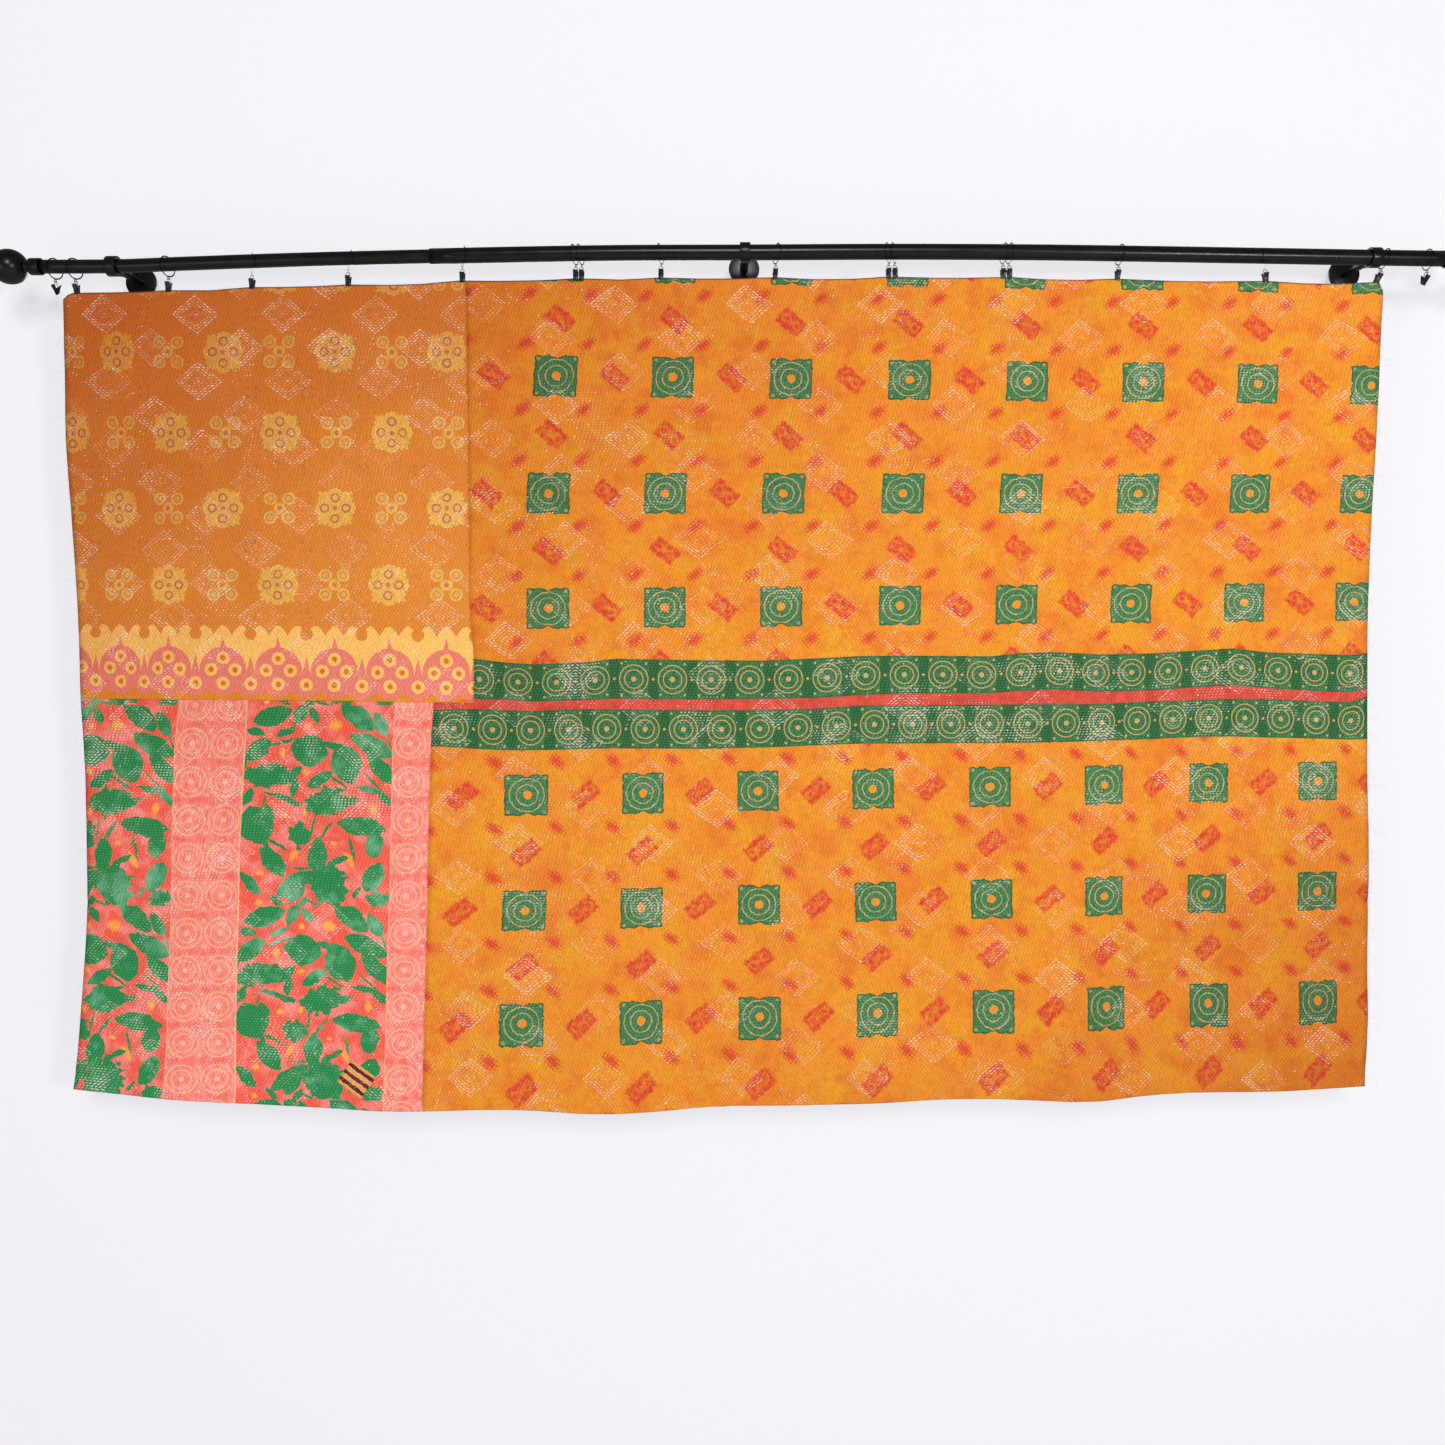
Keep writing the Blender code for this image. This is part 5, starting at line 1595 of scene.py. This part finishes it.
# Rings and clips. Columns: place of the ring on the rod in mm, then degrees: the
# ring's yaw, how far its foot swings to the right, the clip's own roll the same
# way and its yaw, and whether the clip grips the hem.
RING_CLIPS = (
    (-1118.0, -16, 2, 10, -30, False),
    (-1086.0, -18, 3, 9, 0, True),
    (-936.0, -17, 5, 0, 0, True),
    (-798.5, 27, 0, 0, 0, True),
    (-640.0, 26, -7, 0, 0, True),
    (-456.0, 23, -5, 0, 0, True),
    (-276.5, -15, 6, 0, 0, True),
    (-267.0, -15, 6, 0, 0, True),
    (-137.5, -15, 5, -2, 0, True),
    (51.5, 20, -4, -4, 0, True),
    (231.5, -22, 3, 0, 0, True),
    (241.0, -22, 3, 4, 0, True),
    (419.5, 10, -4, 0, 0, True),
    (429.0, 10, -4, 3, 0, True),
    (607.5, 8, -6, -7, 0, True),
    (841.5, -24, 2, 3, 0, True),
    (1036.0, 0, -14, -25, 0, True),
    (1106.0, 0, -2, -20, 9, False),
)
# The pieces that hang with the quilt.
RING_SLACK = 0.6 * MM
EYE_RADIUS = 2.2 * MM
EYE_WIRE = 0.7 * MM
EYE_DROP = 3.0 * MM
LINK_WIRE = 0.55 * MM
LINK_SLACK = 0.6 * MM
LINK_TO_TIP = 22.5 * MM
OUTER_TUBE_START = -510 * MM
TUBE_RADII = (11.0 * MM, 12.5 * MM)
ROD_PROJECTION = 95 * MM
# Columns: distance along the rod in mm, height of the rod's axis there in mm.
ROD_LINE = (
    (-1230, -23.0),
    (-1020, -22.3),
    (-920, -18.5),
    (-735, -12.0),
    (-510, -6.3),
    (-230, -1.0),
    (0, 0.0),
    (230, 1.2),
    (450, 0.4),
    (620, -1.8),
    (840, -5.4),
    (1020, -8.4),
    (1230, -11.4),
)
# Half of a clip's plate, from the jaw's tip to the lever's end. Columns in mm:
# distance from the clip's middle plane, height above the tips. First for a clip
# that grips, then for a shut one.
JAW_GRIPPING = ((2.3, 0.0), (2.4, 3.0), (2.6, 7.0), (3.4, 9.8), (5.0, 14.0), (5.9, 16.4))
JAW_SHUT = ((0.6, 0.0), (1.2, 2.0), (2.4, 5.5), (3.6, 8.6), (5.6, 13.0), (6.9, 15.4))
CLIP_PIVOT = 8.8
PIN_RADIUS = 0.8 * MM
PIN_LENGTH = 9.4 * MM
SPRING_RADIUS = 1.55 * MM
SPRING_WIRE = 0.42 * MM
SPRING_PITCH = 1.0 * MM
SPRING_TURNS = 4
CLIP_EDGE = 0.14 * MM
# Half of the link's V, from its top. Columns in mm: across, height.
LINK_HALF = ((1.9, -0.75), (2.75, -2.4), (2.95, -8.0), (3.1, CLIP_PIVOT - LINK_TO_TIP / MM))


def curve_value(rows, at):
    """The smooth curve through the rows' (place, value) points, read at a place."""
    if at <= rows[0][0]:
        return rows[0][1]
    if at >= rows[-1][0]:
        return rows[-1][1]
    last = max(i for i in range(len(rows) - 1) if rows[i][0] <= at)

    def slope(i):
        """How steeply the curve passes a row."""
        before, after = rows[max(i - 1, 0)], rows[min(i + 1, len(rows) - 1)]
        return (after[1] - before[1]) / (after[0] - before[0])

    (x0, v0), (x1, v1) = rows[last], rows[last + 1]
    run = x1 - x0
    t = (at - x0) / run
    return (
        v0 * (2 * t**3 - 3 * t**2 + 1)
        + v1 * (3 * t**2 - 2 * t**3)
        + slope(last) * run * (t**3 - 2 * t**2 + t)
        + slope(last + 1) * run * (t**3 - t**2)
    )


def rod_point(x):
    """The point of the rod's axis at a distance along it."""
    return Vector((x, -ROD_PROJECTION, curve_value(ROD_LINE, x / MM) * MM))


def tube_radius(x):
    """The outer radius of the tube that shows at a distance along the rod."""
    return TUBE_RADII[x >= OUTER_TUBE_START]


def turn_of(lean, yaw):
    """A turn about the depth axis after one about the upright axis, in degrees."""
    return Matrix.Rotation(math.radians(-lean), 3, "Y") @ Matrix.Rotation(math.radians(yaw), 3, "Z")


def ring_centre(row):
    """Where a ring's centre lies when the ring hangs on the tube."""
    x, yaw, lean, _, _, _ = row
    metal = settings("metal")
    up = turn_of(lean, yaw) @ Vector((0, 0, 1))
    rise = tube_radius(x * MM) / math.cos(math.radians(lean))
    return rod_point(x * MM) + up * (rise + RING_SLACK - (metal.ring_radius - metal.ring_wire))


def link_top(row):
    """The point where the link's wire rests in the ring's eye."""
    _, yaw, lean, _, _, _ = row
    up = turn_of(lean, yaw) @ Vector((0, 0, 1))
    eye = ring_centre(row) - up * (settings("metal").ring_radius + EYE_DROP)
    return eye - Vector((0, 0, EYE_RADIUS - EYE_WIRE - LINK_WIRE - LINK_SLACK))


def add_hoop(work, radius, wire, centre, steps, sides):
    """Adds a wire hoop in the YZ plane to a bmesh."""
    ring = bmesh.ops.create_circle(work, cap_ends=False, segments=sides, radius=wire)["verts"]
    bmesh.ops.translate(work, verts=ring, vec=(0, radius, 0))
    edges = [edge for edge in work.edges if edge.verts[0] in ring and edge.verts[1] in ring]
    old = set(work.verts) - set(ring)
    for axis in "YX":
        bmesh.ops.rotate(work, verts=ring, cent=(0, 0, 0), matrix=quarter_turn(axis))
    bmesh.ops.spin(
        work, geom=ring + edges, cent=(0, 0, 0), axis=(1, 0, 0), angle=math.tau, steps=steps, use_merge=True
    )
    new = [vert for vert in work.verts if vert not in old]
    bmesh.ops.translate(work, verts=new, vec=centre)
    bmesh.ops.remove_doubles(work, verts=new, dist=MERGE_DISTANCE)


class QUILT_OT_rings(bpy.types.Operator):
    """Make the eighteen wire rings with their eyes"""

    bl_idname = "quilt.make_rings"
    bl_label = "Rings"

    def execute(self, context):
        metal = settings("metal")
        work = bmesh.new()
        add_hoop(work, metal.ring_radius, metal.ring_wire, (0, 0, 0), 48, 10)
        add_hoop(work, EYE_RADIUS, EYE_WIRE, (0, 0, -metal.ring_radius - EYE_DROP), 20, 8)
        bmesh.ops.recalc_face_normals(work, faces=work.faces)
        ring = end_mesh("ring", work)
        for number, row in enumerate(RING_CLIPS, 1):
            mesh = ring.copy()
            mesh.transform(Matrix.Translation(ring_centre(row)) @ turn_of(row[2], row[1]).to_4x4())
            smooth(mesh)
            add_piece(f"wire_ring_{number:02d}", mesh, "ring_black", black_lacquer, f"ring_{number:02d}")
        bpy.data.meshes.remove(ring)
        return {"FINISHED"}


def clip_mesh(name, jaw):
    """A sprung clip: two pressed plates and a pin with its spring."""
    metal = settings("metal")
    work = bmesh.new()
    half_wide = metal.clip_width / 2
    for way in (1, -1):
        line = []
        for across, height in jaw:
            line.append(work.verts.new((-half_wide, way * across * MM, height * MM - LINK_TO_TIP)))
        edges = [work.edges.new(pair) for pair in zip(line, line[1:])]
        grown = bmesh.ops.extrude_edge_only(work, edges=edges)["geom"]
        moved = [item for item in grown if isinstance(item, bmesh.types.BMVert)]
        faces = [item for item in grown if isinstance(item, bmesh.types.BMFace)]
        bmesh.ops.translate(work, verts=moved, vec=(metal.clip_width, 0, 0))
        bmesh.ops.recalc_face_normals(work, faces=faces)
        if faces[0].normal.y * way < 0:
            bmesh.ops.reverse_faces(work, faces=faces)
        bmesh.ops.solidify(work, geom=faces, thickness=metal.clip_plate)
    round_edges(work, 60, CLIP_EDGE, 2)
    pivot = CLIP_PIVOT * MM - LINK_TO_TIP
    bmesh.ops.create_cone(
        work,
        cap_ends=True,
        segments=12,
        radius1=PIN_RADIUS,
        radius2=PIN_RADIUS,
        depth=PIN_LENGTH,
        matrix=Matrix.Translation((0, 0, pivot)) @ quarter_turn("Y", 4),
    )
    for turn in range(SPRING_TURNS):
        place = (turn - (SPRING_TURNS - 1) / 2) * SPRING_PITCH
        add_hoop(work, SPRING_RADIUS, SPRING_WIRE, (place, 0, pivot), 16, 6)
    bmesh.ops.recalc_face_normals(work, faces=work.faces)
    mesh = end_mesh(name, work)
    smooth(mesh)
    return mesh


def link_mesh():
    """The wire link: a V whose top hangs in the ring's eye."""
    loop = [(-across, height) for across, height in reversed(LINK_HALF)] + [(0.0, 0.0), *LINK_HALF]
    curve = thread_curve("link", LINK_WIRE)
    add_spline(curve, [(across * MM, 0.0, height * MM) for across, height in loop])
    curve.bevel_resolution = 2
    return curve_mesh(curve)


class QUILT_OT_clips(bpy.types.Operator):
    """Make the eighteen sprung clips on their links"""

    bl_idname = "quilt.make_clips"
    bl_label = "Clips"

    def execute(self, context):
        shapes = {True: clip_mesh("clip_gripping", JAW_GRIPPING), False: clip_mesh("clip_shut", JAW_SHUT)}
        wire = link_mesh()
        for number, row in enumerate(RING_CLIPS, 1):
            place = Matrix.Translation(link_top(row)) @ turn_of(row[3], row[4]).to_4x4()
            parts = (("clip", shapes[row[-1]], black_lacquer), ("link", wire, bright_wire))
            for kind, shape, maker in parts:
                mesh = shape.copy()
                mesh.transform(place)
                add_piece(f"sprung_{kind}_{number:02d}", mesh, "clip_black", maker, f"clip_{number:02d}")
        for mesh in (*shapes.values(), wire):
            bpy.data.meshes.remove(mesh)
        return {"FINISHED"}


# The rod, its brackets and its ends.
LATHE_STEPS = 48
TUBE_STEP = 40 * MM
TUBE_WALL = 1.0 * MM
TUBES = {"outer": (-510, 1150), "inner": (-1155, -240)}
BRACKET_X = {"left": -1023.5, "middle": 0.0, "right": 1019.0}
ROD_ENDS = {"left": -1155, "right": 1150}
JOINT_GAP = 0.3
SLEEVE_CLEARANCE = 0.6
COLLAR_RADIUS = 16.2
COLLAR_HALF = 8.5
# Outlines in mm: distance along the axis, radius.
PLATE_THICKNESS = 5.0
PLATE_OUTLINE = ((0.0, 0.0), (0.0, 26.0), (PLATE_THICKNESS, 26.0), (PLATE_THICKNESS, 0.0))
ARM_RADIUS = 7.0
BOSS_START = 65.8
BOSS_SLOPE = 2.5
BOSS_RADII = (9.5, 7.6)
CAP_WALL = 2.6
CAP_EDGE = (2.2, 0.7)
CAP_FLOOR = 3.0
CAP_MOUTH = 18.5
BALL_CENTRE = 33.0
BALL_RADIUS = 28.0
BALL_STEPS = 24
# How far the edges of each turned piece are rounded.
ROUNDING = {"plate": 1.2, "collar": 0.8, "arm": 0.5, "cap": 0.3, "ball": 0.4}
NECK_RADIUS = 8.5


def turned_mesh(name, outline, edge):
    """An outline in mm, turned round the X axis, with its sharp edges rounded."""
    work = bmesh.new()
    corners = [work.verts.new((along * MM, 0.0, radius * MM)) for along, radius in outline]
    edges = [work.edges.new(pair) for pair in zip(corners, corners[1:])]
    if outline[0][1] > 0:
        edges.append(work.edges.new((corners[-1], corners[0])))
    bmesh.ops.spin(
        work,
        geom=corners + edges,
        cent=(0, 0, 0),
        axis=(1, 0, 0),
        angle=math.tau,
        steps=LATHE_STEPS,
        use_merge=True,
    )
    bmesh.ops.remove_doubles(work, verts=work.verts, dist=MERGE_DISTANCE)
    bmesh.ops.recalc_face_normals(work, faces=work.faces)
    round_edges(work, 32, edge * MM, 3)
    mesh = end_mesh(name, work)
    smooth(mesh)
    return mesh


def tube_mesh(name, start, end, radius):
    """A tube along the rod's line, open at both ends."""
    work = bmesh.new()
    ring = bmesh.ops.create_circle(work, cap_ends=False, segments=LATHE_STEPS, radius=radius)["verts"]
    bmesh.ops.rotate(work, verts=ring, cent=(0, 0, 0), matrix=quarter_turn("Y"))
    bmesh.ops.translate(work, verts=ring, vec=rod_point(start))
    edges = list(work.edges)
    stops = np.linspace(start, end, round((end - start) / TUBE_STEP) + 1)
    for before, after in zip(stops, stops[1:]):
        grown = bmesh.ops.extrude_edge_only(work, edges=edges)["geom"]
        edges = [item for item in grown if isinstance(item, bmesh.types.BMEdge)]
        moved = [item for item in grown if isinstance(item, bmesh.types.BMVert)]
        bmesh.ops.translate(work, verts=moved, vec=rod_point(after) - rod_point(before))
    bmesh.ops.recalc_face_normals(work, faces=work.faces)
    work.faces.ensure_lookup_table()
    middle = work.faces[0].calc_center_median()
    if work.faces[0].normal.dot(middle - rod_point(middle.x)) < 0:
        bmesh.ops.reverse_faces(work, faces=work.faces)
    mesh = end_mesh(name, work)
    smooth(mesh)
    return mesh


def bracket_mesh(name, bore):
    """A collar round the rod, on the end of an arm with a boss."""
    corners = ((-1, bore), (-1, COLLAR_RADIUS), (1, COLLAR_RADIUS), (1, bore))
    outline = [(way * COLLAR_HALF, radius) for way, radius in corners]
    collar = turned_mesh("collar", outline, ROUNDING["collar"])
    collar.transform(Matrix.Translation((0, -ROD_PROJECTION, 0)))
    end = ROD_PROJECTION / MM - (bore + COLLAR_RADIUS) / 2
    start = PLATE_THICKNESS + JOINT_GAP
    wide, narrow = BOSS_RADII
    arm = (
        (start, 0),
        (start, ARM_RADIUS),
        (BOSS_START, ARM_RADIUS),
        (BOSS_START + BOSS_SLOPE, wide),
        (end, narrow),
        (end, 0),
    )
    arm = turned_mesh("arm", arm, ROUNDING["arm"])
    arm.transform(quarter_turn("Z", 4, -1))
    work = bmesh.new()
    for part in (collar, arm):
        work.from_mesh(part)
        bpy.data.meshes.remove(part)
    mesh = end_mesh(name, work)
    smooth(mesh)
    return mesh


def cap_outline(radius):
    """A cap over the tube's end: its end face lies at 0, its mouth behind."""
    outer, bore = radius + CAP_WALL, radius + SLEEVE_CLEARANCE
    far, near = CAP_EDGE
    return (
        (0.0, 0.0),
        (0.0, outer - far),
        (-near, outer - near),
        (-far, outer),
        (-CAP_MOUTH, outer),
        (-CAP_MOUTH, bore),
        (-CAP_FLOOR, bore),
        (-CAP_FLOOR, 0.0),
    )


def ball_outline():
    """A ball on a short neck, from the neck's foot outwards."""
    joint = math.asin(NECK_RADIUS / BALL_RADIUS)
    rows = [(JOINT_GAP, 0.0), (JOINT_GAP, NECK_RADIUS)]
    for turn in np.linspace(joint, math.pi, BALL_STEPS, endpoint=False):
        rows.append((BALL_CENTRE - BALL_RADIUS * math.cos(turn), BALL_RADIUS * math.sin(turn)))
    return [*rows, (BALL_CENTRE + BALL_RADIUS, 0.0)]


class QUILT_OT_rod(bpy.types.Operator):
    """Make the rod's two tubes, its brackets, caps and ball ends"""

    bl_idname = "quilt.make_rod"
    bl_label = "Rod and brackets"

    def execute(self, context):
        def add(name, mesh, node, place=Matrix()):
            """Puts a black piece in its place."""
            mesh.transform(place)
            return add_piece(name, mesh, "rod_black", black_powder_coat, node)

        for name, (start, end) in TUBES.items():
            mesh = tube_mesh(f"{name}_tube", start * MM, end * MM, TUBE_RADII[name == "outer"])
            solid_sheet(add(f"{name}_tube", mesh, f"rod_{name}_tube"), TUBE_WALL)
        for side, x in BRACKET_X.items():
            height = Matrix.Translation((x * MM, 0, rod_point(x * MM).z))
            plate = turned_mesh(f"plate_{side}", PLATE_OUTLINE, ROUNDING["plate"])
            add(f"plate_{side}", plate, f"wall_plate_{side}", height @ quarter_turn("Z", 4, -1))
            bracket = bracket_mesh(f"bracket_{side}", tube_radius(x * MM) / MM + SLEEVE_CLEARANCE)
            add(f"bracket_{side}", bracket, f"bracket_arm_{side}", height)
        for side, x in ROD_ENDS.items():
            outwards = -1 if side == "left" else 1
            end = rod_point(x * MM) + Vector((outwards * (CAP_FLOOR + JOINT_GAP) * MM, 0, 0))
            place = Matrix.Translation(end) @ Matrix.Rotation(math.pi * (side == "left"), 4, "Z")
            cap = turned_mesh(f"cap_{side}", cap_outline(tube_radius(x * MM) / MM), ROUNDING["cap"])
            add(f"cap_{side}", cap, f"rod_cap_{side}", place)
            ball = turned_mesh(f"ball_{side}", ball_outline(), ROUNDING["ball"])
            add(f"ball_{side}", ball, f"ball_finial_{side}", place)
        return {"FINISHED"}


# The stage. The camera looks level along +Y, as in the photograph.
CAMERA_PLACE = (-0.03645, -1.995, -0.5905)
CAMERA_LENS = 29.22
CAMERA_SHIFT = -0.073
BACKDROP_PLACE = 12 * MM
FLOOR_HALF = 6.0
BACKDROP_HALF = 3.0
BACKDROP_GLOW = 0.6
SURROUND_SEEN = 0.93
LIGHT_AIM = Vector((0, -0.1, -0.7))
# Columns: light, its place, its size and its share of the key light's power.
LIGHTS = (
    ("key_above", (0.1, -4.4, 1.3), 1.1, 1.3),
    ("key_left", (-2.8, -3.8, -1.1), 1.8, 0.25),
    ("key_right", (2.2, -3.6, -0.35), 0.45, 0.7),
    ("key_behind", (-0.9, 3.4, 0.4), 2.0, 0.7),
)


class QUILT_OT_stage(bpy.types.Operator):
    """Set the pale floor, the backdrop, the soft light and the camera"""

    bl_idname = "quilt.make_stage"
    bl_label = "Stage"

    def execute(self, context):
        stage = settings("stage")
        scene = context.scene
        scene.view_settings.view_transform = "Standard"
        backdrop_up = Matrix.Translation((0, BACKDROP_PLACE, BACKDROP_HALF)) @ quarter_turn("X", 4)
        for name, size, turn, maker in (
            ("floor", FLOOR_HALF, Matrix(), pale_floor),
            ("backdrop", BACKDROP_HALF, backdrop_up, backdrop_paper),
        ):
            work = bmesh.new()
            place = Matrix.Translation((0, 0, -stage.floor_drop)) @ turn
            bmesh.ops.create_grid(work, x_segments=1, y_segments=1, size=size, matrix=place)
            item = bpy.data.objects.new(name, end_mesh(name, work))
            scene.collection.objects.link(item)
            item.data.materials.append(maker())
        # The backdrop, made last, is seen by the camera alone.
        for ray in ("diffuse", "glossy", "transmission", "shadow"):
            setattr(item, f"visible_{ray}", False)
        world = bpy.data.worlds.new("pale_surround")
        scene.world = world
        world.use_nodes = True
        surround = world.node_tree.nodes["Background"]
        surround.inputs["Color"].default_value = dye("surround", "stage")
        seen = add_node(world.node_tree, "LightPath", out="Is Camera Ray")
        strengths = {0: seen, 2: stage.fill, 3: SURROUND_SEEN}
        strength = add_node(world.node_tree, "Mix", strengths, data_type="FLOAT")
        link(strength, surround.inputs["Strength"])
        for name, place, size, share in LIGHTS:
            light = bpy.data.lights.new(name, "AREA")
            light.shape = "SQUARE"
            light.size = size
            light.energy = stage.key_power * share
            lamp = bpy.data.objects.new(name, light)
            lamp.location = place
            lamp.rotation_euler = (LIGHT_AIM - Vector(place)).to_track_quat("-Z", "Y").to_euler()
            scene.collection.objects.link(lamp)
        lens = bpy.data.cameras.new("camera")
        lens.lens = CAMERA_LENS
        lens.sensor_width = 36.0
        lens.shift_y = CAMERA_SHIFT
        camera = bpy.data.objects.new("camera", lens)
        camera.location = CAMERA_PLACE
        camera.rotation_euler = quarter_turn("X").to_euler()
        scene.collection.objects.link(camera)
        scene.camera = camera
        return {"FINISHED"}


def pale_floor():
    """Pale matt floor."""
    material, _, _, shader = start_material("pale_floor", 0.9)
    shader["Base Color"].default_value = dye("floor", "stage")
    return material


def backdrop_paper():
    """Pale backdrop paper, seen from its front alone."""
    material, put, _, shader = start_material("backdrop_paper", 0.9)
    shader["Base Color"].default_value = dye("paper", "stage")
    nodes = material.node_tree.nodes
    behind = put("NewGeometry", out="Backfacing")
    glow = put("Emission", {"Color": dye("glow", "stage"), "Strength": 1.0})
    lit = put("MixShader", (BACKDROP_GLOW, nodes["Principled BSDF"].outputs[0], glow))
    both = put("MixShader", (behind, lit, put("BsdfTransparent")))
    link(both, nodes["Material Output"].inputs["Surface"])
    return material


class QUILT_PT_panel(bpy.types.Panel):
    """Lists the quilt's operators"""

    bl_idname = "QUILT_PT_panel"
    bl_label = "Kantha Quilt"
    bl_space_type = "VIEW_3D"
    bl_region_type = "UI"
    bl_category = "Quilt"

    def draw(self, context):
        for operator in OPERATORS:
            self.layout.operator(operator.bl_idname)


GROUPS = {
    "dyes": QUILT_PG_dyes,
    "sewing": QUILT_PG_sewing,
    "metal": QUILT_PG_metal,
    "stage": QUILT_PG_stage,
}
OPERATORS = (
    QUILT_OT_stage,
    QUILT_OT_body,
    QUILT_OT_patches,
    QUILT_OT_mend,
    QUILT_OT_threads,
    QUILT_OT_rings,
    QUILT_OT_clips,
    QUILT_OT_rod,
)


def register():
    for cls in (*GROUPS.values(), *OPERATORS, QUILT_PT_panel):
        bpy.utils.register_class(cls)
    for name, group in GROUPS.items():
        setattr(bpy.types.Scene, f"quilt_{name}", bpy.props.PointerProperty(type=group))


def unregister():
    for name in GROUPS:
        delattr(bpy.types.Scene, f"quilt_{name}")
    for cls in (QUILT_PT_panel, *reversed(OPERATORS), *GROUPS.values()):
        bpy.utils.unregister_class(cls)


def main():
    """Makes every piece, one operator at a time."""
    register()
    for operator in OPERATORS:
        group, name = operator.bl_idname.split(".")
        getattr(getattr(bpy.ops, group), name)()


if __name__ == "__main__":
    main()
